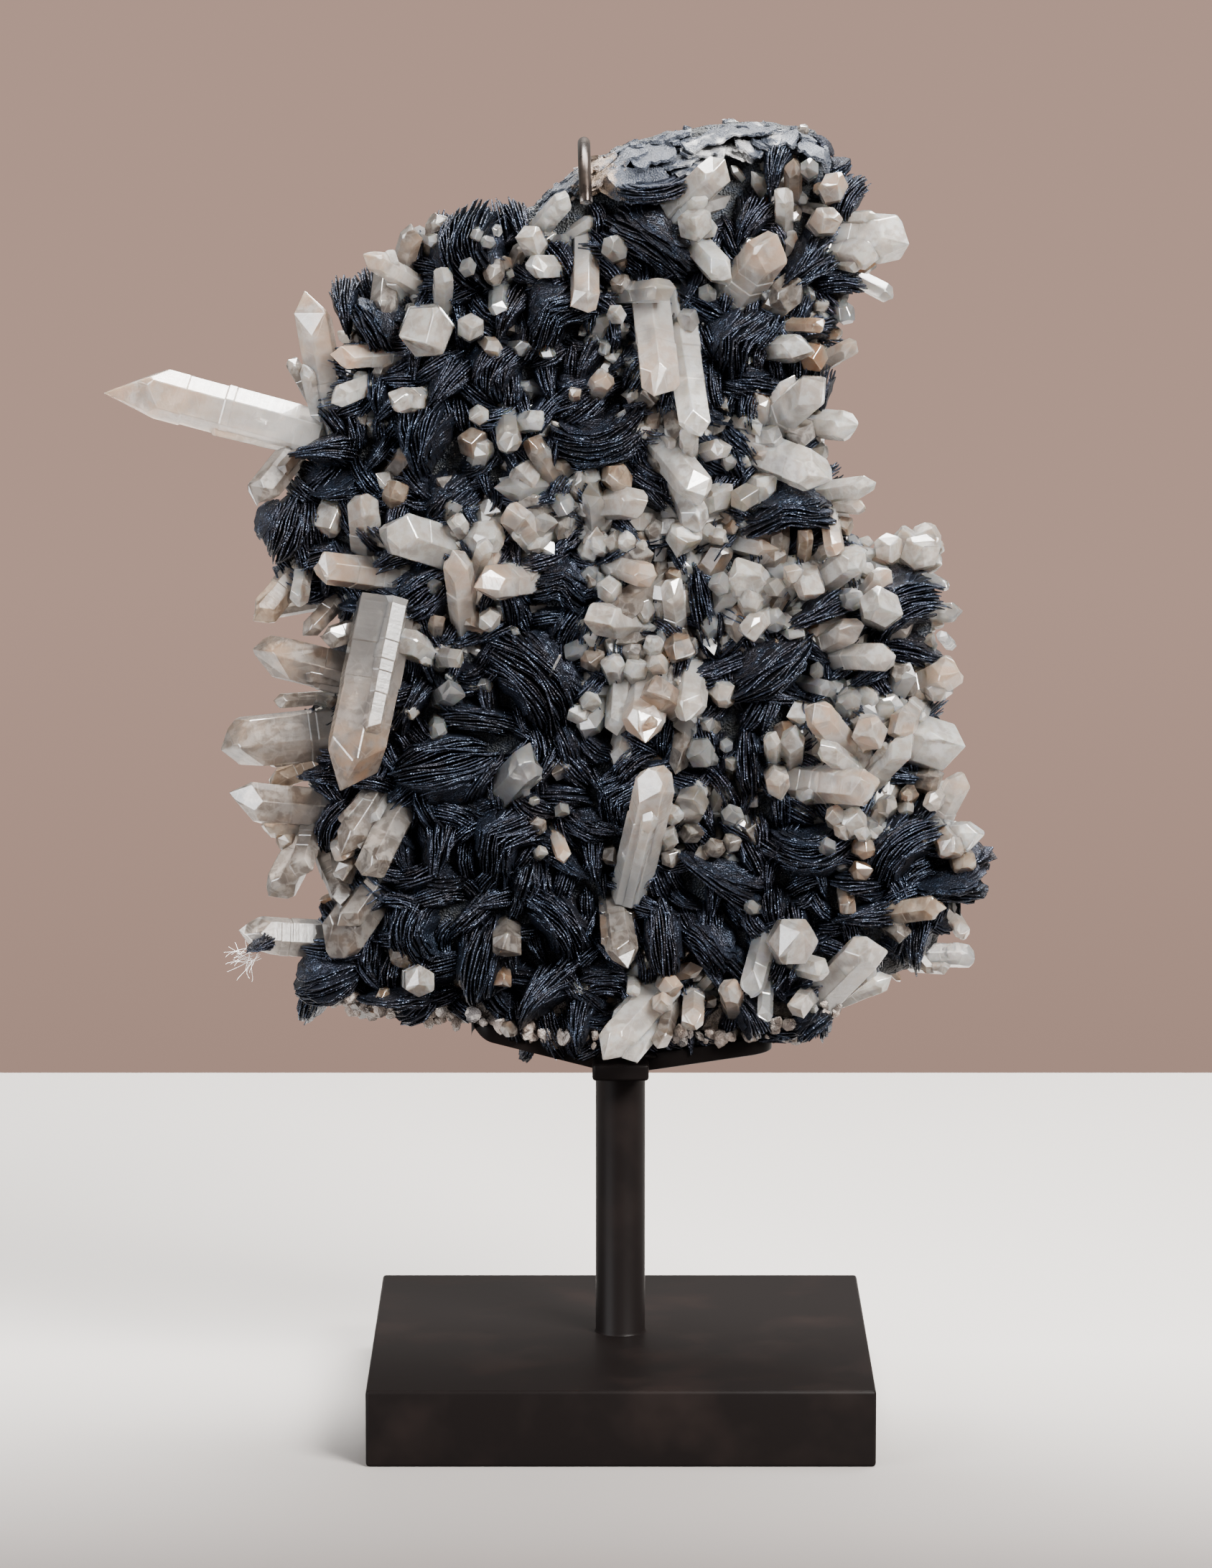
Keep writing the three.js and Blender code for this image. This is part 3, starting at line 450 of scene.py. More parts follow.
# The looks of each kind of quartz beside its own colour, which is one of the mineral colours. Each
# painted_see_through colour is painted shade: the clearer zones are real, but their darkness, the dark rock
# seen through them, is painted.
QUARTZ_LOOKS = {
    "milky": {
        "warm": (0.64, 0.49, 0.39), "foot": (0.70, 0.67, 0.64), "stain": (0.70, 0.48, 0.33),
        "cloud": (1.0, 0.985, 0.95), "painted_see_through": (0.45, 0.40, 0.36),
        "roughness": (0.28, 0.36), "transmission": 0.86, "relief": 0.30,
    },
    "clear": {
        "warm": (0.92, 0.85, 0.78), "foot": (0.86, 0.86, 0.86), "stain": (0.88, 0.76, 0.62),
        "cloud": (1.0, 1.0, 1.0), "painted_see_through": (0.55, 0.52, 0.50),
        "roughness": (0.28, 0.32), "transmission": 0.95, "relief": 0.12,
    },
    "smoky": {
        "warm": (0.32, 0.235, 0.175), "foot": (0.32, 0.29, 0.265), "stain": (0.50, 0.31, 0.18),
        "cloud": (0.70, 0.64, 0.58), "painted_see_through": (0.13, 0.105, 0.09),
        "roughness": (0.28, 0.34), "transmission": 0.89, "relief": 0.18,
    },
    "brown": {
        "warm": (0.50, 0.33, 0.20), "foot": (0.52, 0.43, 0.35), "stain": (0.48, 0.25, 0.12),
        "cloud": (0.74, 0.61, 0.48), "painted_see_through": (0.20, 0.12, 0.07),
        "roughness": (0.28, 0.36), "transmission": 0.87, "relief": 0.20,
    },
}


def give(tree, socket, value):
    """Sets a socket to a number or a colour, or links another socket to it."""
    if isinstance(value, bpy.types.NodeSocket):
        tree.links.new(value, socket)
    elif isinstance(value, (int, float)):
        socket.default_value = value
    else:
        socket.default_value = (*value[:3], 1)


def group_tree(name, inputs, outputs):
    """A new group with its input and output sockets."""
    tree = bpy.data.node_groups.new(name, "ShaderNodeTree")
    for label, default in inputs:
        socket = tree.interface.new_socket(label, in_out="INPUT", socket_type="NodeSocketFloat")
        socket.default_value = default
    for label in outputs:
        tree.interface.new_socket(label, in_out="OUTPUT", socket_type="NodeSocketFloat")
    start = tree.nodes.new("NodeGroupInput")
    end = tree.nodes.new("NodeGroupOutput")
    return tree, start.outputs, end.inputs


def calculate(tree, operation, first, second):
    node = tree.nodes.new("ShaderNodeMath")
    node.operation = operation
    give(tree, node.inputs[0], first)
    give(tree, node.inputs[1], second)
    return node.outputs[0]


def times(tree, first, second):
    return calculate(tree, "MULTIPLY", first, second)


def plus(tree, first, second):
    return calculate(tree, "ADD", first, second)


def own_place(tree):
    """The shaded point's place on its piece, in metres."""
    return tree.nodes.new("ShaderNodeTexCoord").outputs["Object"]


def axes(tree, vector):
    """A vector's X, Y and Z."""
    node = tree.nodes.new("ShaderNodeSeparateXYZ")
    tree.links.new(vector, node.inputs[0])
    return node.outputs


def attribute_value(tree, name):
    node = tree.nodes.new("ShaderNodeAttribute")
    node.attribute_name = name
    return node.outputs["Fac"]


def noise_value(tree, scale, detail):
    """Noise over the piece; the scale is a socket, in waves per metre."""
    node = tree.nodes.new("ShaderNodeTexNoise")
    tree.links.new(own_place(tree), node.inputs["Vector"])
    tree.links.new(scale, node.inputs["Scale"])
    node.inputs["Detail"].default_value = detail
    node.inputs["Roughness"].default_value = 0.55
    return node.outputs["Fac"]


def cell_distance(tree, scale, feature):
    """Distance to the nearest cell's middle, or to the edge between cells."""
    node = tree.nodes.new("ShaderNodeTexVoronoi")
    node.feature = feature
    tree.links.new(own_place(tree), node.inputs["Vector"])
    tree.links.new(scale, node.inputs["Scale"])
    return node.outputs["Distance"]


def ranged(tree, value, low, high):
    """A value from 0 to 1 spread between two numbers."""
    node = tree.nodes.new("ShaderNodeMapRange")
    tree.links.new(value, node.inputs["Value"])
    node.inputs["To Min"].default_value = low
    node.inputs["To Max"].default_value = high
    return node.outputs[0]


def spread_from(tree, value, low, high):
    """How far a value has come from one number to another, from 0 to 1."""
    node = tree.nodes.new("ShaderNodeMapRange")
    tree.links.new(value, node.inputs["Value"])
    give(tree, node.inputs["From Min"], low)
    give(tree, node.inputs["From Max"], high)
    return node.outputs[0]


def between(tree, value, start, full, fading, end):
    """1 from one number to another, with a soft start and a soft end."""
    return times(tree, spread_from(tree, value, start, full), spread_from(tree, value, end, fading))


def mottle_group():
    """Patches between a low and a high noise value, a fine height, fine cells and thin cracks."""
    if "Mineral mottle" in bpy.data.node_groups:
        return bpy.data.node_groups["Mineral mottle"]
    tree, given, made = group_tree(
        "Mineral mottle", [("Scale", 120), ("Low", 0.45), ("High", 0.6), ("Fine scale", 900)],
        ["Mask", "Height", "Grain", "Crack"])
    coarse = noise_value(tree, given["Scale"], 3.0)
    fine = noise_value(tree, given["Fine scale"], 2.0)
    edges = plus(tree, cell_distance(tree, given["Scale"], "DISTANCE_TO_EDGE"), times(tree, coarse, 0.04))
    tree.links.new(spread_from(tree, coarse, given["Low"], given["High"]), made["Mask"])
    tree.links.new(plus(tree, fine, coarse), made["Height"])
    tree.links.new(cell_distance(tree, given["Fine scale"], "F1"), made["Grain"])
    tree.links.new(spread_from(tree, edges, CRACK_WIDTH, 0.0), made["Crack"])
    return tree


def growth_group():
    """Fine growth lines across a crystal, from its distance to the tip, its foot's share and its tint."""
    if "Growth lines" in bpy.data.node_groups:
        return bpy.data.node_groups["Growth lines"]
    tree, given, made = group_tree(
        "Growth lines", [("Lines", 1400), ("Depth", 0.5)], ["Height", "Foot", "Tint"])
    lines = tree.nodes.new("ShaderNodeTexNoise")
    lines.noise_dimensions = "1D"
    lines.inputs["Detail"].default_value = 2.0
    tree.links.new(attribute_value(tree, "along"), lines.inputs["W"])
    tree.links.new(given["Lines"], lines.inputs["Scale"])
    tree.links.new(times(tree, lines.outputs["Fac"], given["Depth"]), made["Height"])
    tree.links.new(attribute_value(tree, "share"), made["Foot"])
    tree.links.new(attribute_value(tree, "tint"), made["Tint"])
    return tree


def new_material(name, **values):
    """A material, its tree and its surface, whose sockets take the values."""
    material = bpy.data.materials.new(name)
    material.use_nodes = True
    surface = material.node_tree.nodes["Principled BSDF"]
    for label, value in values.items():
        surface.inputs[label.replace("_", " ")].default_value = value
    return material, material.node_tree, surface


def placed_group(tree, group, **values):
    """The outputs of a group placed in a material."""
    node = tree.nodes.new("ShaderNodeGroup")
    node.node_tree = group
    for label, value in values.items():
        node.inputs[label.replace("_", " ")].default_value = value
    return node.outputs


def mottle(tree, scale, low, high, fine_scale):
    return placed_group(tree, mottle_group(), Scale=scale, Low=low, High=high, Fine_scale=fine_scale)


def blend(tree, factor, first, second):
    """A colour between two; each is a colour or a socket."""
    node = tree.nodes.new("ShaderNodeMix")
    node.data_type = "RGBA"
    tree.links.new(factor, node.inputs["Factor"])
    give(tree, node.inputs[6], first)
    give(tree, node.inputs[7], second)
    return node.outputs[2]


def dress(tree, surface, colour, roughness):
    tree.links.new(colour, surface.inputs["Base Color"])
    tree.links.new(roughness, surface.inputs["Roughness"])


def bump(tree, surface, height, strength, distance):
    node = tree.nodes.new("ShaderNodeBump")
    node.inputs["Strength"].default_value = strength
    node.inputs["Distance"].default_value = distance
    tree.links.new(height, node.inputs["Height"])
    tree.links.new(node.outputs["Normal"], surface.inputs["Normal"])


def quartz_material(kind):
    """Quartz of one kind: its colour drifts from tip to foot, with veils, painted shade for the dark rock
    seen through it, and iron stains.
    """
    look = QUARTZ_LOOKS[kind]
    material, tree, surface = new_material(
        f"{kind.title()} quartz", IOR=QUARTZ_IOR, Transmission_Weight=look["transmission"],
        Subsurface_Weight=0.9, Subsurface_Scale=0.003, Subsurface_Radius=(1.0, 0.85, 0.7),
        Coat_Roughness=0.04)
    growth = placed_group(tree, growth_group(), Lines=900, Depth=0.8)
    patch = mottle(tree, 170, 0.42, 0.60, 1500)
    veil = mottle(tree, 420, 0.45, 0.58, 1500)
    own = blend(tree, growth["Tint"], getattr(colours(), kind), look["warm"])
    # Painted shade: patches darken towards the painted_see_through colour, standing in for the dark rock seen
    # through the crystal.
    deep = times(tree, spread_from(tree, patch["Mask"], 1.0, 0.0), 0.7)
    see_through_shaded = blend(tree, deep, own, look["painted_see_through"])
    clouded = times(tree, veil["Mask"], ranged(tree, growth["Tint"], 0.95, 0.4))
    white = calculate(tree, "MAXIMUM", clouded, times(tree, patch["Crack"], 0.7))
    whitened = blend(tree, white, see_through_shaded, look["cloud"])
    footed = blend(tree, spread_from(tree, growth["Foot"], 0.2, 0.85), whitened, look["foot"])
    iron = times(tree, spread_from(tree, growth["Tint"], 0.62, 0.95),
                 spread_from(tree, growth["Foot"], 0.62, 0.1))
    stained = blend(tree, times(tree, patch["Mask"], iron), footed, look["stain"])
    dress(tree, surface, stained, ranged(tree, veil["Mask"], *look["roughness"]))
    height = plus(tree, growth["Height"], times(tree, veil["Height"], 0.8))
    bump(tree, surface, height, look["relief"], 0.0002)
    worn = spread_from(tree, times(tree, veil["Grain"], growth["Height"]), 0.08, 0.3)
    tree.links.new(ranged(tree, worn, 1.0, 0.5), surface.inputs["Coat Weight"])
    return material


def veil_material():
    """Thin white sheets that light still passes."""
    material, tree, surface = new_material("Inner veils", Transmission_Weight=0.7, IOR=1.2)
    patch = mottle(tree, 350, 0.4, 0.6, 1500)
    tone = blend(tree, patch["Mask"], (0.80, 0.79, 0.78), (0.97, 0.97, 0.97))
    dress(tree, surface, tone, ranged(tree, patch["Mask"], 0.2, 0.5))
    return material


def hematite_material():
    """Blue-black plates with small silvery glints and a slight brown cast."""
    material, tree, surface = new_material("Hematite plates", Metallic=0.9, IOR=1.9)
    glint = mottle(tree, 420, 0.5, 0.7, 1500)
    cast = mottle(tree, 60, 0.35, 0.7, 3200)
    dark = tuple(channel * 0.25 for channel in colours().hematite)
    own = blend(tree, attribute_value(tree, "tint"), dark, colours().hematite)
    crumb = times(tree, glint["Mask"], spread_from(tree, cast["Grain"], 0.7, 0.1))
    silvery = blend(tree, times(tree, crumb, 0.7), own, (0.14, 0.195, 0.30))
    brown = blend(tree, times(tree, cast["Mask"], 0.08), silvery, (0.10, 0.06, 0.04))
    dress(tree, surface, brown, ranged(tree, glint["Mask"], 0.44, 0.18))
    bump(tree, surface, plus(tree, glint["Grain"], times(tree, cast["Grain"], 0.6)), 0.7, 0.0004)
    return material


def crumb_material():
    """Earthy crumbs, some of them pale."""
    material, tree, surface = new_material("Crumbly rock")
    patch = mottle(tree, 70, 0.38, 0.58, 700)
    grain = mottle(tree, 380, 0.45, 0.62, 2400)
    ground = blend(tree, patch["Mask"], (0.05, 0.045, 0.045), (0.24, 0.19, 0.16))
    speckled = blend(tree, times(tree, grain["Mask"], 0.6), ground, (0.44, 0.40, 0.37))
    dress(tree, surface, speckled, ranged(tree, grain["Mask"], 0.8, 0.5))
    bump(tree, surface, grain["Height"], 0.8, 0.0008)
    return material


def ledge_material():
    """Blue-black blocks, a pale stretch to the right that is a painted highlight of the silvery sheen there,
    and a tan one beside the hook.
    """
    material, tree, surface = new_material("Top ledge")
    patch = mottle(tree, 110, 0.49, 0.65, 700)
    grain = mottle(tree, 420, 0.48, 0.62, 2600)
    across = plus(tree, axes(tree, own_place(tree))["X"], times(tree, patch["Height"], 0.012))
    blocks = between(tree, across, 0.014, 0.017, 0.026, 0.03)
    # Painted highlight: the pale grey stretch to the right stands in for light caught by the silvery sheen
    # there.
    silvery = between(tree, across, 0.026, 0.03, 0.05, 0.054)
    beside_hook = between(tree, across, 0.0, 0.003, 0.009, 0.012)
    ground = blend(tree, patch["Mask"], (0.010, 0.014, 0.023), (0.075, 0.083, 0.10))
    dark = blend(tree, times(tree, blocks, 0.85), ground, (0.010, 0.014, 0.024))
    # The painted highlight is blended in here as pale grey.
    painted_highlight = blend(tree, times(tree, silvery, patch["Mask"]), dark, (0.52, 0.51, 0.50))
    tan = blend(tree, times(tree, beside_hook, 0.55), painted_highlight, (0.36, 0.25, 0.16))
    speckled = blend(tree, times(tree, grain["Mask"], 0.5), tan, (0.06, 0.068, 0.088))
    dress(tree, surface, speckled, ranged(tree, grain["Mask"], 0.5, 0.25))
    bump(tree, surface, grain["Height"], 0.9, 0.0008)
    return material


def body_material():
    """Dark hematite ground in front, earthy rock behind and along the foot of the plate."""
    material, tree, surface = new_material("Rock body")
    grain = mottle(tree, 300, 0.42, 0.64, 1800)
    patch = mottle(tree, 45, 0.38, 0.62, 700)
    place = axes(tree, own_place(tree))
    wobble = times(tree, patch["Height"], 10 * MM)
    deep = plus(tree, place["Y"], calculate(tree, "SUBTRACT", wobble, 10 * MM))
    behind = spread_from(tree, deep, 2 * MM, 10 * MM)
    high = calculate(tree, "SUBTRACT", place["Z"], times(tree, wobble, 0.4))
    foot = spread_from(tree, high, 104 * MM, 97 * MM)
    dark = blend(tree, grain["Mask"], (0.002, 0.003, 0.004), (0.010, 0.014, 0.022))
    earth = blend(tree, patch["Mask"], tuple(value * 0.5 for value in colours().rock), colours().rock)
    speckled = blend(tree, times(tree, grain["Mask"], 0.5), earth, (0.55, 0.50, 0.46))
    tone = blend(tree, calculate(tree, "MAXIMUM", behind, foot), dark, speckled)
    dress(tree, surface, tone, ranged(tree, grain["Mask"], 0.7, 0.45))
    bump(tree, surface, plus(tree, grain["Height"], grain["Grain"]), 0.9, 0.0009)
    return material


def fibre_material():
    material, tree, surface = new_material("White fibres", Roughness=0.5)
    patch = mottle(tree, 300, 0.4, 0.6, 900)
    tone = blend(tree, patch["Mask"], (0.78, 0.74, 0.70), (0.90, 0.88, 0.86))
    tree.links.new(tone, surface.inputs["Base Color"])
    return material


def paint_material():
    """Satin black paint with a little dust."""
    material, tree, surface = new_material("Black paint", Specular_IOR_Level=0.035)
    dust = mottle(tree, 45, 0.5, 0.75, 2600)
    paint = blend(tree, times(tree, dust["Mask"], 0.03), colours().paint, (0.09, 0.055, 0.045))
    dress(tree, surface, paint, ranged(tree, dust["Mask"], 0.40, 0.50))
    bump(tree, surface, dust["Height"], 0.12, 0.00005)
    return material


def wire_material():
    """Dark brown wire, bare and grey where it is cut."""
    material, tree, surface = new_material("Brown wire", Metallic=0.85)
    wear = mottle(tree, 180, 0.45, 0.7, 2600)
    brown = blend(tree, wear["Mask"], (0.022, 0.016, 0.0135), (0.05, 0.037, 0.03))
    tone = blend(tree, attribute_value(tree, "cut"), brown, (0.34, 0.32, 0.31))
    dress(tree, surface, tone, ranged(tree, wear["Mask"], 0.26, 0.42))
    bump(tree, surface, wear["Height"], 0.15, 0.0001)
    return material


def floor_material():
    """Pale behind the object and darker before it: painted shade that deepens towards the front."""
    material, tree, surface = new_material("Pale floor with painted shade", Roughness=0.55)
    # Painted shade: the floor's colour darkens towards the front, from pale to nearly black.
    nearness = spread_from(tree, axes(tree, own_place(tree))["Y"], -0.20, 0.06)
    tone = blend(tree, nearness, (0.02, 0.012, 0.01), (0.345, 0.325, 0.31))
    tree.links.new(tone, surface.inputs["Base Color"])
    return material


def shared(name, make):
    """A material that several pieces use, made once."""
    return bpy.data.materials.get(name) or make()


def paint():
    return shared("Black paint", paint_material)


def quartz(kind):
    return shared(f"{kind.title()} quartz", lambda: quartz_material(kind))


def hematite():
    return shared("Hematite plates", hematite_material)


# Stand


# How much wider the post is at its foot.
POST_FLARE = 1.05

# How far the cradle's arms rise towards their ends, left and right, and the stand's other sizes, in mm.
ARM_RISES = (9.8, 5.8)
TAB_WIDTH = 14.4
STEM_BACK = 25.8
STEM_TOP = 236
CUT_LENGTH = 2.2

# Beads of weld on the tab: (x, y, size).
WELD_BEADS = [(7.6, -6.2, 1.3), (8.6, -5.6, 0.9), (-7.3, -6.3, 1.0), (7.4, 6.3, 1.2), (-7.4, 6.2, 1.2)]


class SPECIMEN_OT_block(bpy.types.Operator):
    """Square black block that everything stands on"""

    bl_idname = "specimen.block"
    bl_label = "Stand block"

    def execute(self, context):
        low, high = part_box("stand_base")
        block = new_box((low + high) / 2, high - low)
        block.name = "stand_block"
        soften(block, sizes().block_edge, 3)
        smooth(block, 40)
        finish_piece(block, "stand_paint", paint(), "stand_base")
        return {"FINISHED"}


class SPECIMEN_OT_post(bpy.types.Operator):
    """Round post between the block and the cradle"""

    bl_idname = "specimen.post"
    bl_label = "Stand post"

    def execute(self, context):
        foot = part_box("stand_base")[1].z
        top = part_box("stand_cradle")[0].z
        radius = sizes().post_diameter / 2
        clear_selection()
        bpy.ops.mesh.primitive_cylinder_add(
            vertices=72, radius=radius, depth=top - foot, location=(0, 0, (top + foot) / 2))
        post = context.object
        post.name = "stand_column"
        edit(post)
        bpy.ops.mesh.bisect(plane_co=(0, 0, foot + 0.6 * MM), plane_no=(0, 0, 1))
        bpy.ops.object.mode_set(mode="OBJECT")
        apply_all(post)
        for vertex in post.data.vertices:
            if vertex.co.z < foot + 0.1 * MM:
                vertex.co.x *= POST_FLARE
                vertex.co.y *= POST_FLARE
        smooth(post, 40)
        finish_piece(post, "stand_paint", paint(), "stand_post")
        return {"FINISHED"}


def flat_bar(length, depth, thickness, rounding):
    """A bar along +X from the origin, with one rounded end and softened edges."""
    bar = new_box((length / 2, 0, thickness / 2), (length, depth, thickness))
    edit(bar, "DESELECT")
    bpy.ops.object.mode_set(mode="OBJECT")
    for edge in bar.data.edges:
        ends = [bar.data.vertices[i].co for i in edge.vertices]
        upright = abs(ends[0].z - ends[1].z) > thickness / 2
        edge.select = upright and min(end.x for end in ends) > length / 2
    bpy.ops.object.mode_set(mode="EDIT")
    bpy.ops.mesh.select_mode(type="EDGE")
    bpy.ops.mesh.bevel(offset=rounding, segments=10)
    bpy.ops.object.mode_set(mode="OBJECT")
    soften(bar, 0.5 * MM, 2, 50)
    return bar


class SPECIMEN_OT_cradle(bpy.types.Operator):
    """Two flat arms and the tab that joins them on the post"""

    bl_idname = "specimen.cradle"
    bl_label = "Stand cradle"

    def execute(self, context):
        low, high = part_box("stand_cradle")
        thickness, depth = sizes().bar_thickness, sizes().bar_depth
        parts = []
        for side, reach, rise in zip((-1, 1), (-low.x, high.x), ARM_RISES):
            arm = flat_bar(reach, depth, thickness, depth * 0.42)
            for vertex in arm.data.vertices:
                vertex.co.z += low.z + rise * MM * vertex.co.x / reach
                vertex.co.x *= side
            parts.append(arm)
        tab = new_box((0, (low.y + high.y) / 2, low.z + thickness / 2 + 0.05 * MM),
                          (TAB_WIDTH * MM, high.y - low.y, thickness))
        soften(tab, 0.9 * MM, 3)
        parts.append(tab)
        for x, y, size in WELD_BEADS:
            bpy.ops.mesh.primitive_ico_sphere_add(
                subdivisions=3, radius=size * MM, location=(x * MM, y * MM, low.z + thickness + 0.6 * MM))
            bead = context.object
            bead.scale = (1.4, 1.0, 0.7)
            apply_all(bead)
            parts.append(bead)
        cradle = join(parts, "cradle_bars")
        outward(cradle)
        smooth(cradle, 40)
        finish_piece(cradle, "stand_paint", paint(), "stand_cradle")
        return {"FINISHED"}


class SPECIMEN_OT_hook(bpy.types.Operator):
    """Back stem, and the brown wire that bends over the top of the rock"""

    bl_idname = "specimen.hook"
    bl_label = "Stand hook"

    def execute(self, context):
        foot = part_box("stand_cradle")[0].z + sizes().bar_thickness
        top = STEM_TOP * MM
        clear_selection()
        bpy.ops.mesh.primitive_cylinder_add(
            vertices=40, radius=sizes().stem_diameter / 2, depth=top - foot,
            location=(0, STEM_BACK * MM, (top + foot) / 2))
        stem = context.object
        soften(stem, 0.8 * MM, 3, 30)
        wire = modelled_wire()
        end = Vector(WIRE_ROUTE[-1]) * MM
        cut = wire.data.attributes.new("cut", "FLOAT", "POINT")
        for vertex in wire.data.vertices:
            if (vertex.co - end).length < CUT_LENGTH * MM:
                cut.data[vertex.index].value = 1 if vertex.co.z < end.z + 0.5 * MM else 0
                vertex.co += noise.noise_vector(vertex.co * 900) * 0.25 * MM
        hook = join([wire, stem], "hook_rod")
        outward(hook)
        smooth(hook, 45)
        finish_piece(hook, "hook_wire", shared("Brown wire", wire_material), "stand_hook")
        return {"FINISHED"}


def modelled_wire():
    """The round wire along its route, as a mesh."""
    bpy.ops.curve.primitive_nurbs_path_add()
    wire = bpy.context.object
    spline = wire.data.splines[0]
    spline.points.add(len(WIRE_ROUTE) - len(spline.points))
    for point, place in zip(spline.points, WIRE_ROUTE):
        point.co = (*(Vector(place) * MM), 1)
    spline.use_endpoint_u = True
    spline.order_u = 3
    spline.resolution_u = 10
    wire.data.bevel_depth = sizes().wire_diameter / 2
    wire.data.bevel_resolution = 6
    wire.data.use_fill_caps = True
    pick(wire)
    bpy.ops.object.convert(target="MESH")
    return bpy.context.object


# Rock


# How fine the plate is modelled, in mm.
ROCK_VOXEL = 2.1

# How many flakes and crumbs there are, and from what to what their sizes go, in mm.
LEDGE_FLAKES = 74
FLAKE_LENGTHS = (7, 19)
FLAKE_WIDTHS = (7, 15)
FLAKE_THICKNESSES = (0.5, 1.1)
SHELL_FLAKES = 16
FOOT_CRUMBS = 420
FOOT_CRUMB_SIZES = (0.8, 2.3)
BACK_CRUMBS = 520
BACK_CRUMB_SIZES = (1.0, 3.4)

# The plate's lower edge in the front view, from left to right.
LOWER_EDGE = [(-80, 107), (-64, 102.5), (-34, 98.5), (-10, 92.5), (12, 93.5), (45, 96.5), (58, 104)]

# Where the flat glittering shell under the ledge lies in the front view.
SHELL_PLACE = (5, 314.5)


class SPECIMEN_OT_rock(bpy.types.Operator):
    """Rock plate that the crystals grow on"""

    bl_idname = "specimen.rock"
    bl_label = "Rock body"

    def execute(self, context):
        clear_selection()
        bpy.ops.mesh.primitive_uv_sphere_add(
            segments=144, ring_count=40, radius=1, rotation=(math.pi / 2, 0, 0))
        rock = context.object
        rock.name = "rock_body"
        apply_all(rock)
        for vertex in rock.data.vertices:
            across = math.hypot(vertex.co.x, vertex.co.z)
            angle = math.atan2(vertex.co.z, vertex.co.x)
            side = vertex.co.y
            reach = outline_reach(angle) * across ** RIM_FULLNESS
            depth = PLATE_FRONT if side < 0 else PLATE_BACK
            vertex.co = plate_place(angle, reach, side * depth)
        remesh = rock.modifiers.new("Remesh", "REMESH")
        remesh.mode = "VOXEL"
        remesh.voxel_size = ROCK_VOXEL * MM
        apply_all(rock)
        for vertex in rock.data.vertices:
            place = vertex.co / MM
            lump = noise.fractal(place / 14, 1.0, 2.0, 4)
            ledge = math.floor(2.2 * noise.noise(place / 9 + Vector((5, 1, 8)))) * 0.5
            grit = noise.noise(place / 2.3)
            back = 1.0 if place.y > 0 else 0.6
            vertex.co += vertex.normal * (lump * 1.6 * back + ledge + grit * 0.4 - 0.8) * MM
        finish_piece(rock, "quartz", body_material(), "quartz_plate")
        return {"FINISHED"}


class SPECIMEN_OT_ledge(bpy.types.Operator):
    """Layered rock along the top edge, with a flat glittering shell under it"""

    bl_idname = "specimen.ledge"
    bl_label = "Top ledge"

    def execute(self, context):
        draw = random.Random(21)
        top = sorted(point for point in PLATE_OUTLINE if point[1] > 300 and -50 < point[0] < 56)
        across = [x for x, _ in top]
        heights = [z for _, z in top]
        flakes = []
        for flake in range(LEDGE_FLAKES):
            clear_selection()
            bpy.ops.mesh.primitive_grid_add(x_subdivisions=16, y_subdivisions=8, size=1)
            sheet = context.object
            layer = draw.randrange(5)
            length = draw.uniform(*FLAKE_LENGTHS)
            low_x = draw.uniform(-24, 54 - length)
            near = draw.uniform(-16, -4) if flake % 3 else draw.uniform(-8, 6)
            width = draw.uniform(*FLAKE_WIDTHS)
            lift = draw.uniform(-0.7, 0.7)
            for vertex in sheet.data.vertices:
                along, deep = vertex.co.x + 0.5, vertex.co.y + 0.5
                corner = 1 - 0.35 * (abs(2 * deep - 1) ** 3)
                x = low_x + length * (0.5 + (along - 0.5) * corner)
                jag = noise.noise(Vector((x / 1.6, flake, 4))) + 0.8 * noise.noise(Vector((x / 4, flake, 9)))
                y = near + jag * 1.5 + width * deep * (1 - 0.4 * abs(2 * along - 1) ** 3)
                rough = noise.noise(Vector((x / 5, y / 5, flake))) + 0.4 * noise.noise(Vector((x, y, flake)))
                z = np.interp(x, across, heights) - 1.2 - 1.35 * layer
                z += 0.9 * rough + lift * (along - 0.5) * 3 - 5.0 * (abs(y) / 17) ** 2.4
                vertex.co = Vector((x, y, z)) * MM
            thick = sheet.modifiers.new("Thick", "SOLIDIFY")
            thick.thickness = draw.uniform(*FLAKE_THICKNESSES) * MM
            apply_all(sheet)
            flakes.append(sheet)
        shell = model_plate(16, 2, 40)
        copies = []
        for _ in range(SHELL_FLAKES):
            x, z = SHELL_PLACE[0] + draw.uniform(-6, 6), SHELL_PLACE[1] + draw.uniform(-2, 2)
            turn = Euler((math.pi / 2 + draw.uniform(-0.5, 0.1), draw.uniform(-0.3, 0.3),
                          draw.uniform(-0.4, 0.4)))
            size = np.array([draw.uniform(3.5, 6.5), draw.uniform(2.2, 4), 6]) * MM
            place = np.array(sight(x, z, draw.uniform(12.5, 15)))
            copies.append(((shell[0] * size) @ np.array(turn.to_matrix()).T + place, shell[1], ()))
        flakes.append(copied_together("shell", copies))
        ledge = join(flakes, "top_ledge")
        outward(ledge)
        finish_piece(ledge, "quartz", ledge_material())
        return {"FINISHED"}


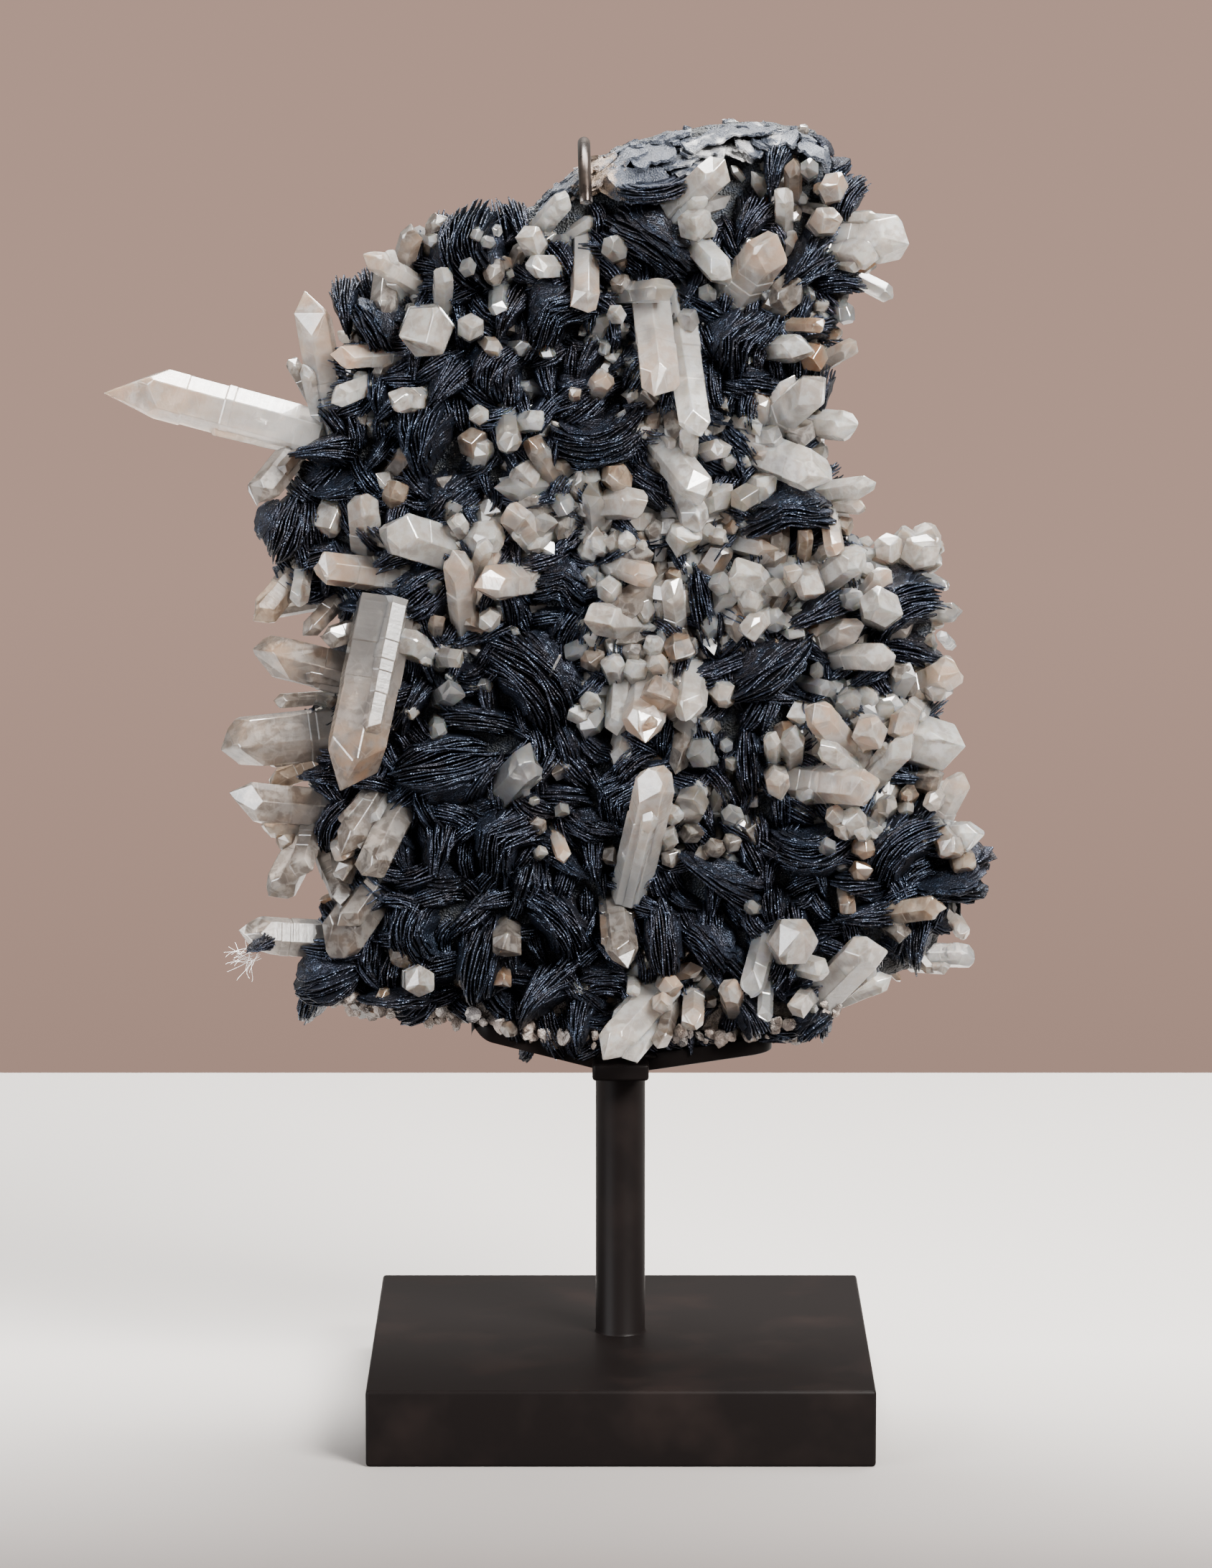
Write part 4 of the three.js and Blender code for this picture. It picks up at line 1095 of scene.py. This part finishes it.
class SPECIMEN_OT_crumbs(bpy.types.Operator):
    """Crumbly rock along the lower edge and rough lumps on the back"""

    bl_idname = "specimen.crumbs"
    bl_label = "Rock crumbs"

    def execute(self, context):
        draw = random.Random(11)
        shapes = []
        for seed in range(4):
            clear_selection()
            bpy.ops.mesh.primitive_ico_sphere_add(subdivisions=2, radius=1)
            crumb = context.object
            edit(crumb)
            bpy.ops.transform.vertex_random(offset=0.28, seed=seed)
            bpy.ops.object.mode_set(mode="OBJECT")
            shapes.append(shape_of(crumb))
        edge_x, edge_z = zip(*LOWER_EDGE)
        copies = []
        for _ in range(FOOT_CRUMBS):
            x = draw.uniform(-78, 56)
            edge = np.interp(x, edge_x, edge_z)
            out = draw.uniform(-16, 12)
            place = sight(x, edge + draw.uniform(0, 3.5) + abs(out) * 0.12, out)
            copies.append(lump_copy(draw, shapes, place, draw.uniform(*FOOT_CRUMB_SIZES)))
        for _ in range(BACK_CRUMBS):
            angle = draw.uniform(-math.pi, math.pi)
            share = math.sqrt(draw.random()) * 0.93
            reach = outline_reach(angle) * share
            depth = PLATE_BACK * math.sqrt(1 - share ** (2 / RIM_FULLNESS))
            place = plate_place(angle, reach, depth - 0.8)
            copies.append(lump_copy(draw, shapes, place, draw.uniform(*BACK_CRUMB_SIZES)))
        crumbs = copied_together("rock_crumbs", copies)
        outward(crumbs)
        finish_piece(crumbs, "quartz", crumb_material())
        return {"FINISHED"}


def lump_copy(draw, shapes, place, size):
    """A turned and stretched copy of one of the crumbs."""
    points, faces = shapes[draw.randrange(len(shapes))]
    turn = Euler([draw.uniform(0, math.tau) for _ in range(3)]).to_matrix()
    stretch = np.array([draw.uniform(0.6, 1.4), draw.uniform(0.6, 1.2), draw.uniform(0.5, 1.0)])
    return (points * stretch * size * MM) @ np.array(turn).T + np.array(place), faces, ()


# Crystals


# Sizes in the modelled crystal, whose radius is 1.
POINT_SLOPE = math.radians(38.2)
SHOULDER = -0.42
STEP_HEIGHT = 0.006
STEPS = 4
POINT_FOOT = 0.6

# Shapes to draw from, and the widths in mm past which a crystal gets companions and inner veils.
CRYSTAL_SHAPES = 10
COMPANION_WIDTH = 7.4
VEILED_WIDTH = 5.0

# How deep a crystal's foot goes into the rock, and how far behind its tip the root of one that points at
# the viewer lies, in mm.
BURIED = 4.0
VIEWER_ROOT = 18

# The small crystals round the rim and on the back, with their widths and lengths in mm, and the fibres.
RIM_CRYSTALS = 230
RIM_WIDTHS = (1.8, 4.2)
RIM_LENGTHS = (3.2, 6.0)
FIBRES = 26

# Tips that plainly stand off their crystal's axis, by how much of its half width in x, y and z.
TIP_SHIFT = {
    (-125.5, 264.5): (-0.7, 0.0, -0.3),
    (-69.5, 161.2): (-0.2, 0.0, -0.1),
    (-101.7, 172.3): (0.0, 0.0, -0.2),
}

# The large crystals whose tips are plainly iron-stained in the front view, and how much.
IRON_RICH = {
    (-69.5, 161.2): 1.0,
    (-125.5, 264.5): 0.92,
    (10, 167.1): 0.8,
    (5.5, 174.4): 0.85,
    (-101.7, 172.3): 0.7,
}


def model_crystal(seed, rounding, steps):
    """A six-sided prism cut by six unequal point faces, with growth steps below them.
    Its radius is 1, its foot is at -1 and the faces below SHOULDER are those of the prism."""
    draw = random.Random(seed)
    clear_selection()
    bpy.ops.mesh.primitive_cylinder_add(vertices=6, radius=1, depth=4, location=(0, 0, 1))
    prism = bpy.context.object
    apply_all(prism)
    edit(prism)
    for face in range(6):
        angle = math.radians(60 * face + 30)
        height = (1.0 if face % 2 else 1.4) * draw.uniform(0.75, 1.15)
        bpy.ops.mesh.select_all(action="SELECT")
        bpy.ops.mesh.bisect(
            plane_co=(0, 0, height), use_fill=True, clear_outer=True,
            plane_no=(math.cos(angle) * math.cos(POINT_SLOPE), math.sin(angle) * math.cos(POINT_SLOPE),
                      math.sin(POINT_SLOPE)))
    if rounding:
        bpy.ops.mesh.select_all(action="SELECT")
        bpy.ops.mesh.bevel(offset=rounding, segments=1, affect="EDGES")
    bpy.ops.mesh.select_all(action="SELECT")
    bpy.ops.mesh.remove_doubles(threshold=0.004)
    bpy.ops.mesh.normals_make_consistent(inside=False)
    levels = [draw.uniform(-0.95, SHOULDER - 0.02) for _ in range(steps)]
    for level in levels:
        for height in (level, level - STEP_HEIGHT):
            bpy.ops.mesh.select_all(action="SELECT")
            bpy.ops.mesh.bisect(plane_co=(0, 0, height), plane_no=(0, 0, 1))
    bpy.ops.object.mode_set(mode="OBJECT")
    points, faces = shape_of(prism)
    for level in levels:
        below = points[:, 2] < level - STEP_HEIGHT / 2
        points[below, :2] *= draw.uniform(0.96, 1.05)
        points[below, :2] += (draw.uniform(-0.03, 0.03), draw.uniform(-0.03, 0.03))
    return points, faces


def crystal_copy(draw, shapes, tip, root, width, buried=BURIED, tint=None, shift=None):
    """A copy of a modelled crystal, from its root in the rock to its tip."""
    points, faces = shapes[draw.randrange(len(shapes))]
    axis = tip - root
    length = axis.length + buried * MM
    radius = min(width * 0.53 * MM, length * 0.33)
    stretch = np.array([radius * draw.uniform(0.8, 1.04), radius, radius * draw.uniform(0.8, 1.2)])
    own = points * stretch
    apex = own[:, 2].max()
    shoulder = SHOULDER * stretch[2] - apex
    foot = points[:, 2] < -0.98
    own[:, 2] -= apex
    below = np.clip((SHOULDER - points[:, 2]) / (1 + SHOULDER), 0, 1)
    own[:, 2] = np.where(below > 0, (1 - below) * shoulder - below * length, own[:, 2])
    own[foot, :2] *= draw.uniform(0.96, 1.12)
    along = -own[:, 2]
    turn = axis.to_track_quat("Z", "Y").to_matrix() @ Matrix.Rotation(draw.uniform(0, math.pi), 3, "Z")
    if shift is None:
        shift = [draw.uniform(-0.3, 0.3) for _ in range(3)]
    above = np.clip(points[:, 2] - POINT_FOOT, 0, None) / (points[:, 2].max() - POINT_FOOT)
    placed = own @ np.array(turn).T + np.array(tip) + np.outer(above, shift) * radius
    own_tint = draw.random()
    return placed, faces, (along, along / length, own_tint if tint is None else tint)


def row_ends(draw, row):
    """Tip, root and width of a row; one that points at the viewer gets a root behind it."""
    if len(row) == 7:
        return sight(*row[:3]), sight(*row[3:6]), row[6]
    x, z, out, width = row
    lean = 0.9 * width
    root = sight(x + draw.uniform(-lean, lean), z + draw.uniform(-lean, lean), out - VIEWER_ROOT)
    return sight(x, z, out), root, width


def companion(draw, shapes, tip, root, width):
    """A thinner, shorter crystal that grew against the side of a large one."""
    axis = tip - root
    side = axis.cross(Vector([draw.uniform(-1, 1) for _ in range(3)])).normalized()
    own_width = width * draw.uniform(0.3, 0.55)
    reach = draw.uniform(0.3, 0.78)
    own_root = root + side * width * 0.3 * MM
    own_tip = root + axis * reach + side * width * draw.uniform(0.36, 0.5) * MM
    return crystal_copy(draw, shapes, own_tip, own_root, own_width)


def inner_veils(draw, disc, tip, root, width):
    """Healed cracks inside a crystal: thin wavy sheets across and along it."""
    points, faces = disc
    axis = (tip - root).normalized()
    length = (tip - root).length
    copies = []
    for _ in range(draw.choice((1, 2, 3))):
        side = axis.cross(Vector([draw.uniform(-1, 1) for _ in range(3)])).normalized()
        middle = tip - axis * draw.uniform(0.25, 0.9) * length + side * width * draw.uniform(-0.12, 0.12) * MM
        normal = (axis * draw.uniform(-1, 1) + side).normalized()
        turn = normal.to_track_quat("Z", "Y").to_matrix()
        size = np.array([draw.uniform(0.16, 0.36), draw.uniform(0.1, 0.26), 1]) * width * MM
        wavy = points.copy()
        wavy[:, 2] = 0.05 * np.sin(points[:, 0] * 3 + size[0] * 9000) + 0.04 * np.cos(points[:, 1] * 4)
        wavy[:, :2] *= 1 + 0.3 * np.sin(np.arctan2(points[:, 1], points[:, 0]) * 5 + size[1] * 7000)[:, None]
        copies.append(((wavy * size) @ np.array(turn).T + np.array(middle), faces, ()))
    return copies


class SPECIMEN_OT_fibres(bpy.types.Operator):
    """Tuft of hair-fine white fibres at the lower left"""

    bl_idname = "specimen.fibres"
    bl_label = "Fibres"

    def execute(self, context):
        draw = random.Random(31)
        fibres = []
        for _ in range(FIBRES):
            clear_selection()
            bpy.ops.curve.primitive_nurbs_path_add()
            fibre = context.object
            x, z = draw.uniform(-95, -91), draw.uniform(116, 121)
            heading = draw.uniform(math.radians(150), math.radians(260))
            for point in fibre.data.splines[0].points:
                point.co = (*sight(x, z, draw.uniform(9, 13)), 1)
                heading += draw.uniform(-0.9, 0.9)
                x += math.cos(heading) * 1.9
                z += math.sin(heading) * 1.5
            fibre.data.bevel_depth = 0.04 * MM
            fibre.data.bevel_resolution = 0
            fibre.data.resolution_u = 6
            pick(fibre)
            bpy.ops.object.convert(target="MESH")
            fibres.append(context.object)
        tuft = join(fibres, "white_fibres")
        finish_piece(tuft, "quartz", fibre_material())
        return {"FINISHED"}


KINDS = {
    "milky": MILKY,
    "clear": CLEAR,
    "smoky": SMOKY,
    "brown": BROWN,
}


class SPECIMEN_OT_crystals(bpy.types.Operator):
    """Crystals of one kind, each placed by its tip and its root"""

    bl_idname = "specimen.crystals"
    bl_label = "Crystals"

    kind: bpy.props.EnumProperty(
        name="Kind", description="Kind of quartz", items=[(kind, kind.title(), "") for kind in KINDS])

    def execute(self, context):
        draw = random.Random(self.kind)
        shapes = [model_crystal(seed, 0.03, STEPS) for seed in range(CRYSTAL_SHAPES)]
        bpy.ops.mesh.primitive_circle_add(vertices=14, radius=1, fill_type="TRIFAN")
        disc = shape_of(context.object)
        copies = []
        veils = []
        for row in KINDS[self.kind]:
            tip, root, width = row_ends(draw, row)
            copies.append(crystal_copy(
                draw, shapes, tip, root, width, tint=IRON_RICH.get(row[:2]), shift=TIP_SHIFT.get(row[:2])))
            if width > VEILED_WIDTH:
                veils.extend(inner_veils(draw, disc, tip, root, width))
            if width > COMPANION_WIDTH:
                for _ in range(draw.choice((0, 1, 1, 2))):
                    copies.append(companion(draw, shapes, tip, root, width))
        veil_piece = copied_together(f"{self.kind}_veils", veils)
        finish_piece(veil_piece, "quartz", shared("Inner veils", veil_material))
        piece = copied_together(f"{self.kind}_crystals", copies, ("along", "share", "tint"))
        finish_piece(piece, "quartz", quartz(self.kind))
        return {"FINISHED"}


def near_rose(x, z, margin):
    """Whether a reading lies on one of the large roses."""
    for cx, cz, _, half_length, half_stack, degrees, _ in ROSES:
        angle = math.radians(degrees)
        u = (x - cx) * math.cos(angle) + (z - cz) * math.sin(angle)
        v = (z - cz) * math.cos(angle) - (x - cx) * math.sin(angle)
        if math.hypot(u / half_length, v / half_stack) < margin:
            return True
    return False


class SPECIMEN_OT_druse(bpy.types.Operator):
    """Small crystals in patches between the large ones, round the rim and on the back"""

    bl_idname = "specimen.druse"
    bl_label = "Small crystals"

    def execute(self, context):
        draw = random.Random(5)
        shapes = [model_crystal(seed, 0, 0) for seed in range(20, 26)]
        copies = {"milky": [], "clear": [], "smoky": []}
        for x, z, spread, count, widest in DRUSE:
            for _ in range(count):
                px, pz = draw.gauss(x, spread * 0.5), draw.gauss(z, spread * 0.5)
                out = front_of_plate(px, pz)
                if out is None or (near_rose(px, pz, 0.8) and draw.random() < 0.8):
                    continue
                width = draw.uniform(0.35, 0.85) * widest
                lean, way = width * draw.uniform(1.1, 3.0), draw.uniform(0, math.tau)
                if front_of_plate(px + math.cos(way) * lean, pz + math.sin(way) * lean) is None:
                    lean *= 0.4
                root = sight(px, pz, out - 3)
                tip = sight(px + math.cos(way) * lean, pz + math.sin(way) * lean,
                            out + draw.uniform(0.2, 1.2) * width)
                rightward = min(1, max(0, (px + 70) / 120))
                kind = draw.choices(list(copies), (1.5 + 6 * rightward, 3, 4 - 2.5 * rightward))[0]
                copies[kind].append(crystal_copy(draw, shapes, tip, root, width, 1.0))
        for _ in range(RIM_CRYSTALS):
            angle = draw.uniform(-math.pi, math.pi)
            depth = draw.uniform(-9, 15)
            share = (1 - (depth / (PLATE_BACK if depth > 0 else PLATE_FRONT)) ** 2) ** (RIM_FULLNESS / 2)
            reach = outline_reach(angle) * share
            rim_x = PLATE_CENTRE[0] + math.cos(angle) * reach
            rim_z = PLATE_CENTRE[1] + math.sin(angle) * reach
            if rim_z < 112 or (rim_z > 306 and rim_x < 34):
                continue
            backwards = draw.uniform(-0.3, 0.9) * (1 if depth > 0 else -1)
            way = Vector((math.cos(angle), backwards, math.sin(angle)))
            way += Vector([draw.uniform(-0.4, 0.4) for _ in range(3)])
            root = plate_place(angle, reach - 2.5, depth)
            width = draw.uniform(*RIM_WIDTHS)
            kind = draw.choices(list(copies), (4, 2, 4))[0]
            tip = root + way.normalized() * draw.uniform(*RIM_LENGTHS) * MM
            copies[kind].append(crystal_copy(draw, shapes, tip, root, width, 1.0))
        for kind, own in copies.items():
            piece = copied_together(f"{kind}_druse", own, ("along", "share", "tint"))
            finish_piece(piece, "quartz", quartz(kind))
        return {"FINISHED"}


# Hematite


# Thickness of the modelled plate, whose radius is 1.
PLATE_THINNESS = 0.05

# Distance between the plates and their thickness, in mm, in the roses and in the small stacks.
ROSE_SPACING = 0.78
ROSE_THINNESS = 0.3
STACK_SPACING = 0.85
STACK_THINNESS = 0.32

# Distance between the small stacks, and half their lengths, in mm.
GROUND_STEP = 6.0
STACK_LENGTHS = (4.8, 8.6)


def model_plate(rim, rings, seed):
    """A thin round plate with a jagged rim. Its radius is 1 and it lies in the XY plane."""
    clear_selection()
    bpy.ops.mesh.primitive_circle_add(vertices=rim, radius=1, fill_type="NGON")
    plate = bpy.context.object
    edit(plate)
    for _ in range(rings):
        bpy.ops.mesh.inset(thickness=0.9 / (rings + 1), depth=0)
    bpy.ops.mesh.poke()
    bpy.ops.object.mode_set(mode="OBJECT")
    draw = random.Random(seed)
    for vertex in plate.data.vertices:
        if vertex.co.length > 0.98:
            vertex.co *= draw.uniform(0.82, 1.06)
    thick = plate.modifiers.new("Thick", "SOLIDIFY")
    thick.thickness = PLATE_THINNESS
    thick.offset = 0
    apply_all(plate)
    return shape_of(plate)


def stack_line(form, t, u):
    """How high the plate at share t of the stack lies at share u of its length, in half stacks."""
    if form == "lemon":
        return t * (1.06 - 0.75 * u ** 2)
    if form == "arc":
        return t * 0.9 + 0.45 * (0.5 - u ** 2)
    if form == "smile":
        return t * 0.9 - 0.55 * (0.5 - u ** 2)
    if form == "fan":
        return t * (0.62 + 0.5 * u) + 0.12 * (1 - u ** 2)
    return t * 0.8 + 0.75 * (0.45 - np.abs(u))


def rose_copies(draw, shapes, row, spacing, thinness):
    """The plates of one rose: thin curved sheets, the outer ones folded over the inner ones."""
    x, z, out, half_length, half_stack, degrees, form = row
    centre = np.array(sight(x, z, out))
    angle = math.radians(degrees)
    length_way = np.array((math.cos(angle), 0, math.sin(angle)))
    tilt = Matrix.Rotation(draw.uniform(-0.25, 0.25), 3, Vector(length_way))
    stack_way = np.array(tilt @ Vector((-math.sin(angle), 0, math.cos(angle))))
    back_way = np.cross(stack_way, length_way)
    count = max(4, round(2 * half_stack / spacing))
    copies = []
    for plate in range(count):
        t = -1 + (2 * plate + 1) / count
        points, faces = shapes[draw.randrange(len(shapes))]
        round_in = math.sqrt(max(0.2, 1 - (0.93 * t) ** 2))
        spin = draw.uniform(0, math.tau)
        px = points[:, 0] * math.cos(spin) - points[:, 1] * math.sin(spin)
        py = points[:, 0] * math.sin(spin) + points[:, 1] * math.cos(spin)
        u = px * draw.uniform(0.88, 1.06) + draw.uniform(-0.05, 0.05)
        back = py * min(half_length, 10.5) * (0.35 + 0.65 * round_in) * draw.uniform(0.86, 1.08)
        folded = 1 - 0.5 * abs(t) ** 1.5 * np.clip((1 - py) / 2, 0, 1) ** 2.2
        wave = 0.035 * np.sin(u * 5 + t * 9 + x) + 0.02 * np.sin(py * 7 + u * 4 + z + plate)
        height = stack_line(form, t, u * round_in) * folded + wave + draw.uniform(-0.02, 0.02)
        height = height * half_stack + points[:, 2] * thinness / PLATE_THINNESS
        placed = (np.outer(u * half_length * round_in, length_way) + np.outer(height, stack_way)
                  + np.outer(back, back_way)) * MM + centre
        copies.append((placed, faces, (draw.random(),)))
    return copies


class SPECIMEN_OT_roses(bpy.types.Operator):
    """Hematite roses: lumps of thin curved plates"""

    bl_idname = "specimen.roses"
    bl_label = "Hematite roses"

    def execute(self, context):
        draw = random.Random(3)
        shapes = [model_plate(18, 2, seed) for seed in range(6)]
        nodes = sorted(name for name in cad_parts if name.startswith("hematite_rose_"))
        half = len(ROSES) // 2
        pieces = (("upper_roses", ROSES[:half], nodes), ("lower_roses", ROSES[half:], []))
        for name, rows, stood_for in pieces:
            copies = [copy for row in rows
                      for copy in rose_copies(draw, shapes, row, ROSE_SPACING, ROSE_THINNESS)]
            piece = copied_together(name, copies, ("tint",))
            finish_piece(piece, "hematite", hematite(), *stood_for)
        return {"FINISHED"}


class SPECIMEN_OT_small_roses(bpy.types.Operator):
    """Small stacks of plates that fill the ground between the large roses"""

    bl_idname = "specimen.small_roses"
    bl_label = "Small hematite"

    def execute(self, context):
        draw = random.Random(8)
        shapes = [model_plate(10, 0, seed) for seed in range(6)]
        places = [(x, z) for x in np.arange(-92, 93, GROUND_STEP)
                  for z in np.arange(90, 334, GROUND_STEP)]
        copies = []
        for across, up in places:
            x, z = across + draw.uniform(-2.4, 2.4), up + draw.uniform(-2.4, 2.4)
            out = front_of_plate(x, z)
            if out is None or near_rose(x, z, 0.66) or (z > 306 and -32 < x < 50):
                continue
            if (z < 106 and x < -58) or (z < 117 and x > 58):
                continue
            half_length = draw.uniform(*STACK_LENGTHS)
            row = (x, z, out - 1.4, half_length, half_length * draw.uniform(0.45, 0.7),
                   draw.uniform(0, 180), draw.choice(("fan", "arc", "lemon", "smile")))
            copies.extend(rose_copies(draw, shapes, row, STACK_SPACING, STACK_THINNESS))
        half = len(copies) // 2
        for name, own in (("small_roses_left", copies[:half]), ("small_roses_right", copies[half:])):
            piece = copied_together(name, own, ("tint",))
            finish_piece(piece, "hematite", hematite())
        return {"FINISHED"}


# Stage


AIM = (0, 0, 0.2)

# Area lights: (name, place, size, power, colour).
LIGHTS = [
    ("key", (0.75, -0.9, 1.05), (0.6, 0.6), 160, (1.0, 0.98, 0.95)),
    ("fill", (-1.1, -0.8, 0.5), (0.9, 0.9), 46, (0.95, 0.97, 1.0)),
    ("top", (0.1, 0.35, 1.2), (0.9, 0.6), 76, (1.0, 0.99, 0.97)),
]


def area_light(name, place, size, power, colour):
    data = bpy.data.lights.new(name, "AREA")
    data.shape = "RECTANGLE"
    data.size, data.size_y = size
    data.energy = power
    data.color = colour
    light = new_object(name, data)
    light.location = place
    light.rotation_euler = (Vector(AIM) - Vector(place)).to_track_quat("-Z", "Y").to_euler()


def studio_world():
    """A warm backdrop that only the camera sees, and the even light of a room."""
    world = bpy.data.worlds.new("Studio")
    world.use_nodes = True
    tree = world.node_tree
    backdrop = tree.nodes["Background"]
    way = axes(tree, tree.nodes.new("ShaderNodeTexCoord").outputs["Generated"])
    tone = blend(tree, spread_from(tree, way["Z"], -0.21, -0.12), (0.42, 0.27, 0.22), (0.52, 0.34, 0.275))
    tree.links.new(tone, backdrop.inputs["Color"])
    room = tree.nodes.new("ShaderNodeBackground")
    room.inputs["Color"].default_value = (0.80, 0.75, 0.71, 1)
    room.inputs["Strength"].default_value = 0.5
    seen = tree.nodes.new("ShaderNodeLightPath")
    choice = tree.nodes.new("ShaderNodeMixShader")
    tree.links.new(seen.outputs["Is Camera Ray"], choice.inputs["Fac"])
    tree.links.new(room.outputs[0], choice.inputs[1])
    tree.links.new(backdrop.outputs[0], choice.inputs[2])
    tree.links.new(choice.outputs[0], tree.nodes["World Output"].inputs["Surface"])
    return world


class SPECIMEN_OT_stage(bpy.types.Operator):
    """Pale floor with painted shade towards the front, soft studio light and the camera"""

    bl_idname = "specimen.stage"
    bl_label = "Stage"

    def execute(self, context):
        clear_selection()
        bpy.ops.mesh.primitive_plane_add(size=1, location=(0, -0.575, 0))
        floor = context.object
        floor.name = "pale_floor"
        floor.scale = (2.6, 2.02, 1)
        apply_all(floor)
        floor.data.materials.append(floor_material())
        context.scene.world = studio_world()
        for light in LIGHTS:
            area_light(*light)
        data = bpy.data.cameras.new("photo_view")
        data.lens = LENS
        data.sensor_width = 36
        data.clip_start = 0.05
        camera = new_object("photo_view", data)
        camera.location = EYE
        camera.rotation_euler = (math.pi / 2 - PITCH, 0, 0)
        context.scene.camera = camera
        return {"FINISHED"}


class SPECIMEN_PT_panel(bpy.types.Panel):
    """Lists the steps that build the specimen"""

    bl_idname = "SPECIMEN_PT_panel"
    bl_label = "Quartz cluster"
    bl_space_type = "VIEW_3D"
    bl_region_type = "UI"
    bl_category = "Quartz cluster"

    def draw(self, context):
        for operator in OPERATORS:
            self.layout.operator(operator.bl_idname)


OPERATORS = (
    SPECIMEN_OT_block, SPECIMEN_OT_post, SPECIMEN_OT_cradle, SPECIMEN_OT_hook, SPECIMEN_OT_rock,
    SPECIMEN_OT_ledge, SPECIMEN_OT_crumbs, SPECIMEN_OT_crystals, SPECIMEN_OT_druse, SPECIMEN_OT_roses,
    SPECIMEN_OT_small_roses, SPECIMEN_OT_fibres, SPECIMEN_OT_stage,
)
CLASSES = (StandSizes, MineralColours, *OPERATORS, SPECIMEN_PT_panel)


def register():
    for item in CLASSES:
        bpy.utils.register_class(item)
    bpy.types.Scene.stand_sizes = bpy.props.PointerProperty(type=StandSizes)
    bpy.types.Scene.mineral_colours = bpy.props.PointerProperty(type=MineralColours)


def unregister():
    del bpy.types.Scene.mineral_colours
    del bpy.types.Scene.stand_sizes
    for item in reversed(CLASSES):
        bpy.utils.unregister_class(item)


def main():
    register()
    bpy.ops.specimen.stage()
    bpy.ops.specimen.block()
    bpy.ops.specimen.post()
    bpy.ops.specimen.cradle()
    bpy.ops.specimen.hook()
    bpy.ops.specimen.rock()
    bpy.ops.specimen.ledge()
    bpy.ops.specimen.crumbs()
    for kind in KINDS:
        bpy.ops.specimen.crystals(kind=kind)
    bpy.ops.specimen.druse()
    bpy.ops.specimen.roses()
    bpy.ops.specimen.small_roses()
    bpy.ops.specimen.fibres()
    clear_selection()


if __name__ == "__main__":
    main()
